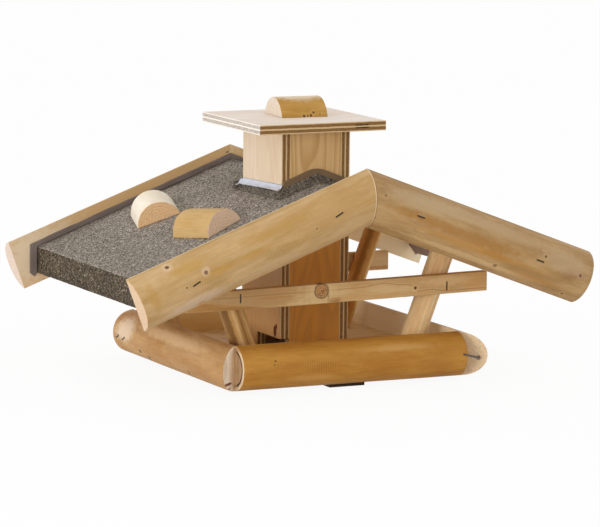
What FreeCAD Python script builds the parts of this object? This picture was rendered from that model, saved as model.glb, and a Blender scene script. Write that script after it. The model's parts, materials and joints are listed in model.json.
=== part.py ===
"""Bird table with a seed silo: a log-edged tray, leaning posts, a felted saddle roof and a lift-off lid.

Frame: millimetres, +Z up, +X to the right along the roof's slopes, front at -Y.
The origin is under the middle of the table, at the underside of the mounting bearer.
"""

import FreeCAD, Part
import Sketcher
import os
import re
from collections import namedtuple

Vector = FreeCAD.Vector

# Each size is a name, its value in millimetres or degrees, and what it measures.
SIZES = (
    ("bearer_width", 47, "mounting bearer under the floor, across"),
    ("bearer_thickness", 16, "mounting bearer, up and down"),
    ("mount_hole_diameter", 6, "holes down through floor and bearer, for fixing the table to a post"),
    ("mount_hole_spacing", 200, "between the two mounting holes, front to back"),
    ("tray_side", 300, "side of the square floor board"),
    ("floor_board_thickness", 12, "plywood floor"),
    ("tray_log_chord", 55, "flat inner face of a tray log, up and down"),
    ("tray_log_bulge", 28, "tray log, from its flat face to the outermost point"),
    ("tray_log_drop", 12, "how far the tray logs hang below the floor board"),
    ("side_log_tail", 9, "how far the side logs run past the floor's back edge"),
    ("front_post_diameter", 31.5, "front posts"),
    ("back_post_diameter", 25, "back posts"),
    ("post_row_inset", 45, "post axes from the floor's front and back edges"),
    ("front_left_foot_inset", 40, "post axis at the floor, from the floor's left edge"),
    ("front_right_foot_inset", 46, "post axis at the floor, from the floor's right edge"),
    ("back_foot_inset", 36, "back post axes at the floor, from the floor's side edges"),
    ("front_rail_overhang", 52, "front rail's ends beyond the floor's side edges"),
    ("back_rail_overhang", 43, "back rail's ends beyond the floor's side edges"),
    ("rail_height", 24, "rails, up and down"),
    ("rail_thickness", 12, "rails, front to back"),
    ("front_rail_clearance", 72.7, "underside of the front rail above the floor, at the middle"),
    ("front_rail_tilt", 0.97, "slope of the front rail, its left end lower"),
    ("back_rail_clearance", 69, "underside of the back rail above the floor"),
    ("roof_pitch", 20.66, "slope of each side of the roof, and lean of the posts"),
    ("ridge_height", 240, "felt surface at the ridge above the base"),
    ("roof_span", 531.2, "across the roof, over the felt on both eaves"),
    ("roof_depth", 392.8, "between the flat faces of the front and back verge logs"),
    ("roof_board_thickness", 12, "plywood roof boards"),
    ("felt_thickness", 2, "mineral felt"),
    ("eave_drop", 34.2, "felt on the eave's upright face"),
    ("eave_batten_width", 5, "thin batten behind the eave's upright face"),
    ("silo_notch_gap", 0.5, "between the silo and the boards and felt cut round it"),
    ("felt_edge_rise", 7.5, "felt strip turned up against the verge logs"),
    ("felt_edge_thickness", 2, "felt strip, through its thickness"),
    ("felt_tail_reach", 10, "felt strip's tail beyond the eave"),
    ("felt_tail_drop", 38, "felt strip's tail below the felt's edge"),
    ("front_barge_chord", 66.3, "flat inner face of a front verge log, across the slope"),
    ("back_barge_chord", 63.5, "flat inner face of a back verge log, across the slope"),
    ("barge_bulge", 28, "verge log, from its flat face to the outermost point"),
    ("front_barge_overhang", 45.4, "upper end corner of a front verge log beyond the eave"),
    ("back_barge_overhang", 38.5, "upper end corner of a back verge log beyond the eave"),
    ("front_barge_rise", 31, "top of the front verge logs above the felt, at the ridge"),
    ("back_barge_rise", 18.5, "top of the back verge logs above the felt, at the ridge"),
    ("back_barge_pitch", 20.2, "slope of the back verge logs"),
    ("silo_width", 92, "silo, left to right"),
    ("silo_depth", 113, "silo, front to back"),
    ("silo_height", 273.5, "silo above the floor"),
    ("silo_board_thickness", 12, "plywood silo boards"),
    ("seed_slot_length", 68.5, "seed slot along the foot of a side board"),
    ("seed_slot_height", 18.5, "seed slot above the floor"),
    ("collar_half_width", 45, "felt collar on the silo, from the ridge to each end"),
    ("collar_rise", 17.4, "felt collar above the felt surface"),
    ("collar_thickness", 3, "felt collar, front to back"),
    ("collar_crown_radius", 32, "rounded top of the felt collar"),
    ("flashing_rise", 13, "sealing strip up the silo's side above the felt"),
    ("flashing_foot", 8, "sealing strip along the roof"),
    ("flashing_lip", 9, "sealing strip's outer edge above the felt"),
    ("lid_side", 170, "square plywood lid"),
    ("lid_left_shift", 2.5, "middle of the lid, to the left of the silo's middle"),
    ("lid_back_shift", 3, "middle of the lid, behind the silo's middle"),
    ("lid_thickness", 12, "plywood lid"),
    ("lid_rest_gap", 0.3, "between the closed lid and the silo's top"),
    ("lid_block_depth", 20, "locating block under the lid"),
    ("lid_block_gap", 2, "between the locating block and the silo boards"),
    ("knob_chord", 62.5, "flat underside of the knob, front to back"),
    ("knob_bulge", 23.5, "knob above the lid"),
    ("knob_length", 60.5, "knob, left to right"),
    ("knob_x", 6.4, "middle of the knob, to the right of the silo's middle"),
    ("knob_y", 14.7, "middle of the knob, behind the silo's middle"),
    ("knob_turn", 4.5, "how far the knob is turned, its right end forward"),
    ("roof_block_chord", 56.5, "flat underside of a roof block"),
    ("roof_block_bulge", 24.5, "roof block above the felt"),
    ("roof_block_length", 67.5, "roof block along its axis"),
    ("roof_block_turn", 16.5, "roof blocks, turned away from the ridge's direction"),
    ("back_block_reach", 154.3, "middle of the back block from the ridge, down the slope"),
    ("front_block_reach", 150.9, "middle of the front block from the ridge, down the slope"),
    ("back_block_y", 101.9, "middle of the back block behind the roof's middle"),
    ("front_block_y", 47.8, "middle of the front block before the roof's middle"),
    ("block_screw_length", 30, "screws through the roof board into the roof blocks"),
    ("screw_diameter", 4, "wood screws"),
    ("screw_head_diameter", 8, "countersunk heads"),
    ("short_screw_length", 25, "screws through the bearer into the floor"),
    ("long_screw_length", 35, "screws through the floor into posts and silo, and through roof boards"),
    ("lid_screw_length", 48, "screws through the locating block and lid into the knob"),
    ("screw_edge_inset", 11, "bearer screws from the bearer's long edges"),
    ("bearer_screw_spacing", 120, "bearer screws, front to back"),
    ("lid_screw_spacing", 26, "between the two lid screws"),
    ("staple_wire", 1.2, "staple wire"),
    ("staple_crown", 12, "staple, over its legs"),
    ("corner_staple_crown", 30, "long staple across the front right corner"),
    ("staple_leg", 10, "staple legs, driven into the wood"),
    ("staple_proud", 0.4, "crown standing out of the wood"),
    ("upper_staple_reach", 55, "upper staples of the back verge logs from the ridge, level"),
    ("lower_staple_reach", 230, "lower staples of the back verge logs from the ridge, level"),
    ("left_upper_staple_reach", 49, "upper staple of the front left verge log from the ridge, level"),
    ("left_lower_staple_reach", 233, "lower staple of the front left verge log from the ridge, level"),
    ("left_upper_staple_lift", 3.5, "upper staple of the front left verge log above its middle line"),
    ("left_lower_staple_lift", 0.5, "lower staple of the front left verge log above its middle line"),
    ("right_upper_staple_reach", 59.5, "upper staple of the front right verge log from the ridge, level"),
    ("right_lower_staple_reach", 223, "lower staple of the front right verge log from the ridge, level"),
    ("front_left_staple_turn", 9.5, "staples of the front left verge log, turned steeper than the slope"),
    ("rail_staple_reach", 139, "rail staples from the middle of the rail"),
    ("front_rail_staple_shift", 4.3, "front rail staples, moved to the right"),
    ("left_staple_inset", 5, "tray staple from the floor's back edge"),
    ("left_staple_spacing", 19, "between the two tray staples on the left log"),
    ("left_staple_turn", 25, "tray staples on the left log, their front ends higher"),
    ("corner_staple_reach", 5.5, "middle of the corner staple beyond the floor's right edge"),
    ("corner_staple_sink", 2.2, "middle of the corner staple behind the front log's outermost line"),
    ("corner_staple_turn", 10, "corner staple, its right end towards the back"),
    ("corner_staple_dip", 15, "corner staple, its right end lower"),
)

OVERSHOOT = 5
doc = FreeCAD.newDocument("BirdTable")
sheet = doc.addObject("Spreadsheet::Sheet", "Sizes")
for row, (name, number, meaning) in enumerate(SIZES, start=1):
    sheet.set(f"A{row}", meaning)
    sheet.set(f"B{row}", str(number))
    sheet.setAlias(f"B{row}", name)
doc.recompute()

# Lengths that follow from the sizes, as expressions on the sheet.
FLOOR_TOP = "(bearer_thickness + floor_board_thickness)"
LOG_MIDDLE = "(bearer_thickness - tray_log_drop + tray_log_chord / 2)"
FALL = "tan(roof_pitch)"
BOARD_TOP = "(ridge_height - felt_thickness / cos(roof_pitch))"
BOARD_UNDERSIDE = "(ridge_height - (felt_thickness + roof_board_thickness) / cos(roof_pitch))"
EAVE = "(roof_span / 2)"
EAVE_FOOT = "(ridge_height - roof_span / 2 * tan(roof_pitch) - eave_drop)"
BATTEN_FACE = "(roof_span / 2 - felt_thickness)"
SILO_TOP = "(bearer_thickness + floor_board_thickness + silo_height)"
LID_UNDERSIDE = "(bearer_thickness + floor_board_thickness + silo_height + lid_rest_gap)"
LID_TOP = "(bearer_thickness + floor_board_thickness + silo_height + lid_rest_gap + lid_thickness)"
VERGE = "(roof_depth / 2)"

Log = namedtuple("Log", "chord bulge")
TRAY_LOG = Log("tray_log_chord", "tray_log_bulge")
FRONT_BARGE_LOG = Log("front_barge_chord", "barge_bulge")
BACK_BARGE_LOG = Log("back_barge_chord", "barge_bulge")
KNOB_LOG = Log("knob_chord", "knob_bulge")
BLOCK_LOG = Log("roof_block_chord", "roof_block_bulge")


SIDES = (("left", -1), ("right", 1))
ENDS = (("front", -1), ("back", 1))
# End and its sign, side and its sign, the foot's distance from the middle, and the diameter.
POSTS = (
    ("front", -1, "left", -1, "(tray_side / 2 - front_left_foot_inset)", "front_post_diameter"),
    ("front", -1, "right", 1, "(tray_side / 2 - front_right_foot_inset)", "front_post_diameter"),
    ("back", 1, "left", -1, "(tray_side / 2 - back_foot_inset)", "back_post_diameter"),
    ("back", 1, "right", 1, "(tray_side / 2 - back_foot_inset)", "back_post_diameter"),
)
# End and its sign, height above the floor, turn about Y, the posts that the rail lies against,
# its overhang, and how far its staples are moved to the right.
RAILS = (
    ("front", -1, "front_rail_clearance", "-front_rail_tilt", "front_post_diameter", "front_rail_overhang",
     "front_rail_staple_shift"),
    ("back", 1, "back_rail_clearance", "0", "back_post_diameter", "back_rail_overhang", "0"),
)
# End and its sign, the logs along that verge, their rise at the ridge, overhang and slope.
VERGES = (
    ("front", -1, FRONT_BARGE_LOG, "front_barge_rise", "front_barge_overhang", "roof_pitch"),
    ("back", 1, BACK_BARGE_LOG, "back_barge_rise", "back_barge_overhang", "back_barge_pitch"),
)
# The staples of each verge log: from the ridge, and above the log's middle line.
VERGE_STAPLES = {
    ("front", "left", "upper"): ("left_upper_staple_reach", "left_upper_staple_lift"),
    ("front", "left", "lower"): ("left_lower_staple_reach", "left_lower_staple_lift"),
    ("front", "right", "upper"): ("right_upper_staple_reach", "0"),
    ("front", "right", "lower"): ("right_lower_staple_reach", "0"),
    ("back", "left", "upper"): ("upper_staple_reach", "0"),
    ("back", "left", "lower"): ("lower_staple_reach", "0"),
    ("back", "right", "upper"): ("upper_staple_reach", "0"),
    ("back", "right", "lower"): ("lower_staple_reach", "0"),
}
# End, distance down the slope, place front to back, and turn of the axis from straight up the slope.
ROOF_BLOCKS = (
    ("front", "front_block_reach", "-front_block_y", "90 + roof_block_turn"),
    ("back", "back_block_reach", "back_block_y", "90 - roof_block_turn"),
)


def cells(text):
    """Put the sheet's name before every size that an expression uses."""
    return re.sub(r"\b[a-z]+(?:_[a-z]+)+\b", r"Sizes.\g<0>", str(text))


def value(text):
    """The number that an expression has now."""
    return float(sheet.evalExpression(cells(text)))


def bind(thing, **expressions):
    """Tie properties of an object to expressions; a double underscore stands for a dot."""
    for name, text in expressions.items():
        thing.setExpression(name.replace("__", "."), cells(text))


def place(thing, x="0", y="0", z="0", turns=()):
    """Tie an object's placement to expressions; turns are (axis, angle) pairs, the last one made first."""
    spins = " * ".join(f"rotation(vector({axis}); {angle})" for axis, angle in turns)
    spins = spins or "rotation(vector(0; 0; 1); 0)"
    thing.setExpression("Placement", cells(f"placement(vector({x}; {y}; {z}); {spins})"))


def new_body(name):
    body = doc.addObject("PartDesign::Body", name)
    body.Label = name
    return body


def new_sketch(body, name, role):
    sketch = body.newObject("Sketcher::SketchObject", name)
    plane = next(item for item in body.Origin.OriginFeatures if item.Role == role)
    sketch.AttachmentSupport = [(plane, "")]
    sketch.MapMode = "FlatFace"
    return sketch


def measure(sketch, kind, *arguments, expression):
    """Add a dimension to a sketch and tie it to an expression."""
    index = sketch.addConstraint(Sketcher.Constraint(kind, *arguments, value(expression)))
    label = f"size{index}"
    sketch.renameConstraint(index, label)
    sketch.setExpression(f"Constraints.{label}", cells(expression))


def outline(body, name, role, corners):
    """A closed outline of straight edges, each corner a pair of expressions."""
    sketch = new_sketch(body, name, role)
    points = [Vector(value(across), value(up), 0) for across, up in corners]
    for start, end in zip(points, points[1:] + points[:1]):
        sketch.addGeometry(Part.LineSegment(start, end))
    for index, (across, up) in enumerate(corners):
        before = (index - 1) % len(corners)
        sketch.addConstraint(Sketcher.Constraint("Coincident", before, 2, index, 1))
        measure(sketch, "DistanceX", -1, 1, index, 1, expression=across)
        measure(sketch, "DistanceY", -1, 1, index, 1, expression=up)
    return sketch


def half_round(body, name, log, side):
    """End section of a split log: flat face upright through the origin, bulging to one side."""
    sketch = new_sketch(body, name, "YZ_Plane")
    half = value(log.chord) / 2
    bulge = side * value(log.bulge)
    low, high = Vector(0, -half, 0), Vector(0, half, 0)
    first, last = (low, high) if side > 0 else (high, low)
    flat = sketch.addGeometry(Part.LineSegment(last, first))
    bark = sketch.addGeometry(Part.Arc(first, Vector(bulge, 0, 0), last))
    crown = sketch.addGeometry(Part.Point(Vector(bulge, 0, 0)))
    sketch.toggleConstruction(crown)
    for rule in (
        ("Coincident", flat, 2, bark, 1),
        ("Coincident", flat, 1, bark, 2),
        ("PointOnObject", flat, 1, -2),
        ("Symmetric", flat, 1, flat, 2, -1, 1),
        ("PointOnObject", crown, 1, bark),
        ("PointOnObject", crown, 1, -1),
    ):
        sketch.addConstraint(Sketcher.Constraint(*rule))
    upward = (flat, 2, flat, 1) if side > 0 else (flat, 1, flat, 2)
    measure(sketch, "DistanceY", *upward, expression=log.chord)
    measure(sketch, "DistanceX", -1, 1, crown, 1, expression=f"{side} * {log.bulge}")
    return sketch


def pad(body, sketch, length, middle=False, backward=False):
    """Thicken a sketch by a length, about its plane or to one side of it."""
    feature = body.newObject("PartDesign::Pad", sketch.Name + "_pad")
    feature.Profile = sketch
    feature.SideType = "Symmetric" if middle else "One side"
    feature.Reversed = backward
    bind(feature, Length=length)
    sketch.Visibility = False
    body.Tip = feature
    return feature


def pocket_up(body, sketch):
    """Cut a sketch on the level plane upwards through everything."""
    doc.recompute()
    before = body.Shape.Volume
    feature = body.newObject("PartDesign::Pocket", sketch.Name + "_cut")
    feature.Profile = sketch
    feature.Type = "ThroughAll"
    feature.Reversed = True
    body.Tip = feature
    doc.recompute()
    if body.Shape.Volume >= before:
        raise RuntimeError(f"{feature.Name} cut nothing")


def board(name, role, corners, thickness, middle=False, x="0", y="0", z="0", turns=()):
    """A flat piece: an outline thickened by one length."""
    body = new_body(name)
    pad(body, outline(body, name + "_outline", role, corners), thickness, middle=middle)
    place(body, x, y, z, turns)
    return body


def rectangle(left, right, low, high):
    return [(left, low), (right, low), (right, high), (left, high)]


def block(name, length, width, height, x, y, z, turns=()):
    """A rectangular solid with one corner at its own origin."""
    box = doc.addObject("Part::Box", name)
    bind(box, Length=length, Width=width, Height=height)
    place(box, x, y, z, turns)
    return box


def rod(name, diameter, height, x, y, z, turns=()):
    cylinder = doc.addObject("Part::Cylinder", name)
    bind(cylinder, Radius=f"{diameter} / 2", Height=height)
    place(cylinder, x, y, z, turns)
    return cylinder


def cut(name, base, *tools):
    """Take the tools out of a base; the result carries the sub-part's name."""
    for number, tool in enumerate(tools, start=1):
        before = base
        base = doc.addObject("Part::Cut", name if number == len(tools) else f"{name}_cut{number}")
        base.Base = before
        base.Tool = tool
    base.Label = name
    return base


def group(name, members):
    """Identical fasteners as one sub-part of separate solids."""
    compound = doc.addObject("Part::Compound", name)
    compound.Links = members
    compound.Label = name
    return compound


def screw(name, length, x, y, z, turns=()):
    """Countersunk wood screw with its head's face at the origin, pointing up."""
    body = new_body(name)
    shank = "screw_diameter / 2"
    head = "screw_head_diameter / 2"
    neck = "((screw_head_diameter - screw_diameter) / 2)"
    corners = [("0", "0"), (head, "0"), (shank, neck), (shank, f"{length} - screw_diameter"), ("0", length)]
    sketch = outline(body, name + "_section", "XZ_Plane", corners)
    turned = body.newObject("PartDesign::Revolution", name + "_turned")
    turned.Profile = sketch
    turned.ReferenceAxis = (sketch, ["V_Axis"])
    turned.Angle = 360
    body.Tip = turned
    place(body, x, y, z, turns)
    return body


def staple(name, crown, x, y, z, turns=()):
    """Wire staple: its crown lies along X, its legs run into the wood towards +Y."""
    body = new_body(name)
    half, wire, leg, proud = f"{crown} / 2", "staple_wire", "staple_leg", "staple_proud"
    corners = [
        (f"-{half}", f"-{proud}"),
        (half, f"-{proud}"),
        (half, leg),
        (f"{half} - {wire}", leg),
        (f"{half} - {wire}", f"{wire} - {proud}"),
        (f"{wire} - {half}", f"{wire} - {proud}"),
        (f"{wire} - {half}", leg),
        (f"-{half}", leg),
    ]
    pad(body, outline(body, name + "_outline", "XY_Plane", corners), wire, middle=True)
    place(body, x, y, z, turns)
    return body


def felt_line(across, lift="0"):
    """Height of the felt surface, or of a line a vertical lift above it, at a distance from the ridge."""
    return f"ridge_height - ({across}) * {FALL} + {lift}"


def post_y(end):
    """Where a row of posts stands, front to back."""
    return f"{end} * (tray_side / 2 - post_row_inset)"


def bark(log, offset):
    """How far a split log's round side stands out at a vertical offset from its middle."""
    radius = f"(({log.chord} ^ 2 / 4 + {log.bulge} ^ 2) / (2 * {log.bulge}))"
    return f"({log.bulge} - {radius} + sqrt({radius} ^ 2 - ({offset}) ^ 2))"


def make_screws():
    """Groups of countersunk screws, and the holes that a post or bracket is screwed through."""
    bearer = [
        screw(
            f"bearer_screw_{end}_{side}",
            "short_screw_length",
            f"{x} * (bearer_width / 2 - screw_edge_inset)",
            f"{y} * bearer_screw_spacing / 2",
            "0",
        )
        for end, y in ENDS
        for side, x in SIDES
    ]
    posts = [
        screw(f"post_screw_{end}_{side}", "long_screw_length", f"{x} * {foot}", post_y(y), "bearer_thickness")
        for end, y, side, x, foot, _ in POSTS
    ]
    # Each silo screw goes up into the part of the side board that the seed slot leaves standing.
    silo = [
        screw(
            f"silo_screw_{side}",
            "long_screw_length",
            f"{x} * (silo_width - silo_board_thickness) / 2",
            f"{-x} * (silo_depth / 2 - 2 * silo_board_thickness)",
            "bearer_thickness",
        )
        for side, x in SIDES
    ]
    lid = [
        screw(
            f"lid_screw_{side}",
            "lid_screw_length",
            f"knob_x + {x} * lid_screw_spacing / 2",
            "knob_y",
            f"{LID_UNDERSIDE} - lid_block_depth",
        )
        for side, x in SIDES
    ]
    blocks = [
        screw(
            f"block_screw_{end}",
            "block_screw_length",
            *on_slope(reach, y, "-(felt_thickness + roof_board_thickness)"),
            [("0; 1; 0", "-roof_pitch")],
        )
        for end, reach, y, _ in ROOF_BLOCKS
    ]
    holes = [
        rod(
            f"mount_hole_{end}",
            "mount_hole_diameter",
            f"{FLOOR_TOP} + {2 * OVERSHOOT}",
            "0",
            f"{y} * mount_hole_spacing / 2",
            f"-{OVERSHOOT}",
        )
        for end, y in ENDS
    ]
    return {
        "bearer_screws": group("bearer_screws", bearer),
        "post_screws": group("post_screws", posts),
        "silo_screws": group("silo_screws", silo),
        "lid_screws": group("lid_screws", lid),
        "block_screws": group("block_screws", blocks),
    }, group("mount_holes", holes)


def on_slope(reach, y, lift):
    """A place on the left slope: down from the ridge, behind the middle, and above the felt square to it."""
    across = f"-({reach}) * cos(roof_pitch) - ({lift}) * sin(roof_pitch)"
    up = f"ridge_height - ({reach}) * sin(roof_pitch) + ({lift}) * cos(roof_pitch)"
    return across, y, up


def make_tray(screws, holes):
    """Bearer, floor board and the four split logs round the floor."""
    half = "tray_side / 2"
    bearer_plan = rectangle("-bearer_width / 2", "bearer_width / 2", f"-{half}", half)
    bearer = board("bearer_blank", "XY_Plane", bearer_plan, "bearer_thickness")
    floor_plan = rectangle(f"-{half}", half, f"-{half}", half)
    floor = board("floor_blank", "XY_Plane", floor_plan, "floor_board_thickness", z="bearer_thickness")
    floor_screws = [screws[name] for name in ("bearer_screws", "post_screws", "silo_screws")]
    parts = {
        "mounting_bearer": cut("mounting_bearer", bearer, screws["bearer_screws"], holes),
        "floor_board": cut("floor_board", floor, *floor_screws, holes),
    }
    for end, y in ENDS:
        body = new_body(f"tray_log_{end}")
        section = half_round(body, f"tray_log_{end}_section", TRAY_LOG, y)
        pad(body, section, "tray_side", middle=True)
        place(body, "0", f"{y} * {half}", LOG_MIDDLE)
        parts[body.Label] = body
    for side, x in SIDES:
        # A side log runs front to back; its front end is cut back at 45 degrees from the floor's corner.
        blank = new_body(f"tray_log_{side}_blank")
        section = half_round(blank, f"tray_log_{side}_section", TRAY_LOG, -x)
        pad(blank, section, "tray_side + tray_log_bulge + side_log_tail")
        place(blank, f"{x} * {half}", f"-{half} - tray_log_bulge", LOG_MIDDLE, [("0; 0; 1", "90")])
        waste = block(
            f"corner_waste_{side}",
            "tray_log_chord * 2",
            "tray_log_chord * 2",
            "tray_log_chord * 2",
            f"{x} * {half}",
            f"-{half}",
            f"{LOG_MIDDLE} - tray_log_chord",
            [("0; 0; 1", "-135")],
        )
        parts[f"tray_log_{side}"] = cut(f"tray_log_{side}", blank, waste)
    return parts


def make_posts(screws):
    """Round posts square to the roof's slope, sawn level at the floor, and the rails across them."""
    parts = {}
    for end, y, side, x, foot, diameter in POSTS:
        name = f"post_{end}_{side}"
        spare = f"{diameter} * {FALL}"
        height = f"({BOARD_UNDERSIDE} - {FLOOR_TOP}) * cos(roof_pitch) - {foot} * sin(roof_pitch) + {spare}"
        blank = rod(
            f"{name}_blank",
            diameter,
            height,
            f"{x} * ({foot} - {spare} * sin(roof_pitch))",
            post_y(y),
            f"{FLOOR_TOP} - {spare} * cos(roof_pitch)",
            [("0; 1; 0", f"{x} * roof_pitch")],
        )
        waste = block(
            f"{name}_waste",
            f"{diameter} * 3",
            f"{diameter} * 3",
            f"{diameter} * 2",
            f"{x} * {foot} - {diameter} * 1.5",
            f"{post_y(y)} - {diameter} * 1.5",
            f"{FLOOR_TOP} - {diameter} * 2",
        )
        parts[name] = cut(name, blank, waste, screws["post_screws"])
    for end, y, clearance, tilt, diameter, overhang, _ in RAILS:
        plan = rectangle(f"-tray_side / 2 - {overhang}", f"tray_side / 2 + {overhang}", "0", "rail_height")
        parts[f"rail_{end}"] = board(
            f"rail_{end}",
            "XZ_Plane",
            plan,
            "rail_thickness",
            middle=True,
            y=f"{post_y(y)} + {y} * ({diameter} + rail_thickness) / 2",
            z=f"{FLOOR_TOP} + {clearance}",
            turns=[("0; 1; 0", tilt)],
        )
    return parts


def make_roof(screws):
    """Boards, battens, felt and turned-up felt strips of both slopes."""
    parts = {}
    notch_x = "(silo_width / 2 + silo_notch_gap)"
    notch_y = "(silo_depth / 2 + silo_notch_gap)"
    for side, x in SIDES:
        board_section = [
            ("0", BOARD_UNDERSIDE),
            (f"{x} * {BATTEN_FACE}", f"{BOARD_UNDERSIDE} - {BATTEN_FACE} * {FALL}"),
            (f"{x} * {BATTEN_FACE}", f"{BOARD_TOP} - {BATTEN_FACE} * {FALL}"),
            ("0", BOARD_TOP),
        ]
        felt_section = [
            ("0", BOARD_TOP),
            (f"{x} * {BATTEN_FACE}", f"{BOARD_TOP} - {BATTEN_FACE} * {FALL}"),
            (f"{x} * {BATTEN_FACE}", EAVE_FOOT),
            (f"{x} * {EAVE}", EAVE_FOOT),
            (f"{x} * {EAVE}", felt_line(EAVE)),
            ("0", "ridge_height"),
        ]
        batten_back = f"({BATTEN_FACE} - eave_batten_width)"
        batten_section = [
            (f"{x} * {BATTEN_FACE}", EAVE_FOOT),
            (f"{x} * {BATTEN_FACE}", f"{BOARD_UNDERSIDE} - {BATTEN_FACE} * {FALL}"),
            (f"{x} * {batten_back}", f"{BOARD_UNDERSIDE} - {batten_back} * {FALL}"),
            (f"{x} * {batten_back}", EAVE_FOOT),
        ]
        notch = rectangle(f"{-x} * {OVERSHOOT}", f"{x} * {notch_x}", f"-{notch_y}", notch_y)
        parts[f"eave_batten_{side}"] = board(
            f"eave_batten_{side}", "XZ_Plane", batten_section, "roof_depth", middle=True
        )
        for piece, section in (("roof_board", board_section), ("roof_felt", felt_section)):
            name = f"{piece}_{side}"
            sheet_name = name if x > 0 else f"{name}_blank"
            sheet_body = board(sheet_name, "XZ_Plane", section, "roof_depth", middle=True)
            pocket_up(sheet_body, outline(sheet_body, f"{name}_notch", "XY_Plane", notch))
            # The two roof blocks are screwed on through the left slope.
            parts[name] = sheet_body if x > 0 else cut(name, sheet_body, screws["block_screws"])
        for end, y in ENDS:
            parts[f"felt_edge_{end}_{side}"] = felt_edge(end, y, side, x)
    return parts


def felt_edge(end, y, side, x):
    """Felt strip turned up against a verge log; the back ones have a pointed tail past the eave."""
    reach = f"({EAVE} + felt_tail_reach)"
    corners = [("0", "ridge_height"), ("0", "ridge_height + felt_edge_rise")]
    if y > 0:
        foot = f"{felt_line(EAVE)} - felt_tail_drop"
        corners += [
            (f"{x} * {reach}", felt_line(reach, "felt_edge_rise")),
            (f"{x} * {reach}", f"{foot} + felt_tail_reach / 2"),
            (f"{x} * ({EAVE} + felt_tail_reach / 3)", foot),
            (f"{x} * {EAVE}", f"{foot} + felt_tail_reach / 2"),
        ]
    else:
        corners.append((f"{x} * {EAVE}", felt_line(EAVE, "felt_edge_rise")))
    corners.append((f"{x} * {EAVE}", felt_line(EAVE)))
    face = VERGE if y > 0 else f"-{VERGE} + felt_edge_thickness"
    return board(f"felt_edge_{end}_{side}", "XZ_Plane", corners, "felt_edge_thickness", y=face)


def make_barges():
    """Four split logs along the verges, mitred upright at the ridge and sawn square at the eaves."""
    parts = {}
    for end, y, log, rise, overhang, pitch in VERGES:
        spare = f"{log.chord} * tan({pitch})"
        run = f"({EAVE} + {overhang} - {log.chord} / 2 * sin({pitch})) / cos({pitch}) + {spare}"
        middle = barge_middle(log, rise, pitch)
        for side, x in SIDES:
            name = f"barge_log_{end}_{side}"
            blank = new_body(f"{name}_blank")
            section = half_round(blank, f"{name}_section", log, y)
            bind(section, AttachmentOffset__Base__z=f"{-x} * {spare}")
            pad(blank, section, run, backward=x < 0)
            place(blank, "0", f"{y} * {VERGE}", middle, [("0; 1; 0", f"{x} * {pitch}")])
            waste = block(
                f"{name}_waste",
                log.chord,
                "barge_bulge * 2",
                f"{log.chord} * 3",
                f"-{log.chord}" if x > 0 else "0",
                f"{y} * (roof_depth + barge_bulge) / 2 - barge_bulge",
                f"{middle} - {log.chord} * 1.5",
            )
            parts[name] = cut(name, blank, waste)
    return parts


def barge_middle(log, rise, pitch):
    """Height of a verge log's middle line at the ridge."""
    return f"(ridge_height + {rise} - {log.chord} / (2 * cos({pitch})))"


def make_silo(screws):
    """Four boards that stand on the floor, and the felt and metal that seal them to the roof."""
    parts = {}
    half_x, half_y = "silo_width / 2", "silo_depth / 2"
    for side, x in SIDES:
        # The slot is open at the front on the left board and at the back on the right board.
        slot_end = f"{x} * ({half_y} - seed_slot_length)"
        shape = [
            (slot_end, FLOOR_TOP),
            (f"{-x} * {half_y}", FLOOR_TOP),
            (f"{-x} * {half_y}", SILO_TOP),
            (f"{x} * {half_y}", SILO_TOP),
            (f"{x} * {half_y}", f"{FLOOR_TOP} + seed_slot_height"),
            (slot_end, f"{FLOOR_TOP} + seed_slot_height"),
        ]
        face = f"-{half_x}" if x < 0 else f"{half_x} - silo_board_thickness"
        blank = board(f"silo_board_{side}_blank", "YZ_Plane", shape, "silo_board_thickness", x=face)
        parts[f"silo_board_{side}"] = cut(f"silo_board_{side}", blank, screws["silo_screws"])
        foot = f"({half_x} + flashing_foot)"
        strip = [
            (f"{x} * {half_x}", felt_line(half_x)),
            (f"{x} * {foot}", felt_line(foot)),
            (f"{x} * {foot}", felt_line(foot, "flashing_lip")),
            (f"{x} * {half_x}", felt_line(half_x, "flashing_rise")),
        ]
        parts[f"flashing_{side}"] = board(f"flashing_{side}", "XZ_Plane", strip, "silo_depth", middle=True)
    inner = f"{half_x} - silo_board_thickness"
    shape = rectangle(f"-({inner})", inner, FLOOR_TOP, SILO_TOP)
    for end, y in ENDS:
        face = half_y if y > 0 else f"-{half_y} + silo_board_thickness"
        parts[f"silo_board_{end}"] = board(
            f"silo_board_{end}", "XZ_Plane", shape, "silo_board_thickness", y=face
        )
        parts[f"felt_collar_{end}"] = felt_collar(end, y)
    return parts


def felt_collar(end, y):
    """Felt turned up against the silo over the ridge, with a rounded crown."""
    low, high = felt_line("collar_half_width"), felt_line("collar_half_width", "collar_rise")
    corners = [
        ("-collar_half_width", low),
        ("0", "ridge_height"),
        ("collar_half_width", low),
        ("collar_half_width", high),
        ("0", "ridge_height + collar_rise"),
        ("-collar_half_width", high),
    ]
    face = "silo_depth / 2 + collar_thickness" if y > 0 else "-silo_depth / 2"
    body = board(f"felt_collar_{end}", "XZ_Plane", corners, "collar_thickness", y=face)
    doc.recompute()
    base = body.Tip
    peak = value("ridge_height + collar_rise")
    top = [
        number
        for number, edge in enumerate(base.Shape.Edges, start=1)
        if all(abs(corner.Z - peak) < 0.01 for corner in edge.Vertexes)
    ]
    crown = body.newObject("PartDesign::Fillet", f"felt_collar_{end}_crown")
    crown.Base = (base, [f"Edge{number}" for number in top])
    bind(crown, Radius="collar_crown_radius")
    body.Tip = crown
    return body


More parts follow.
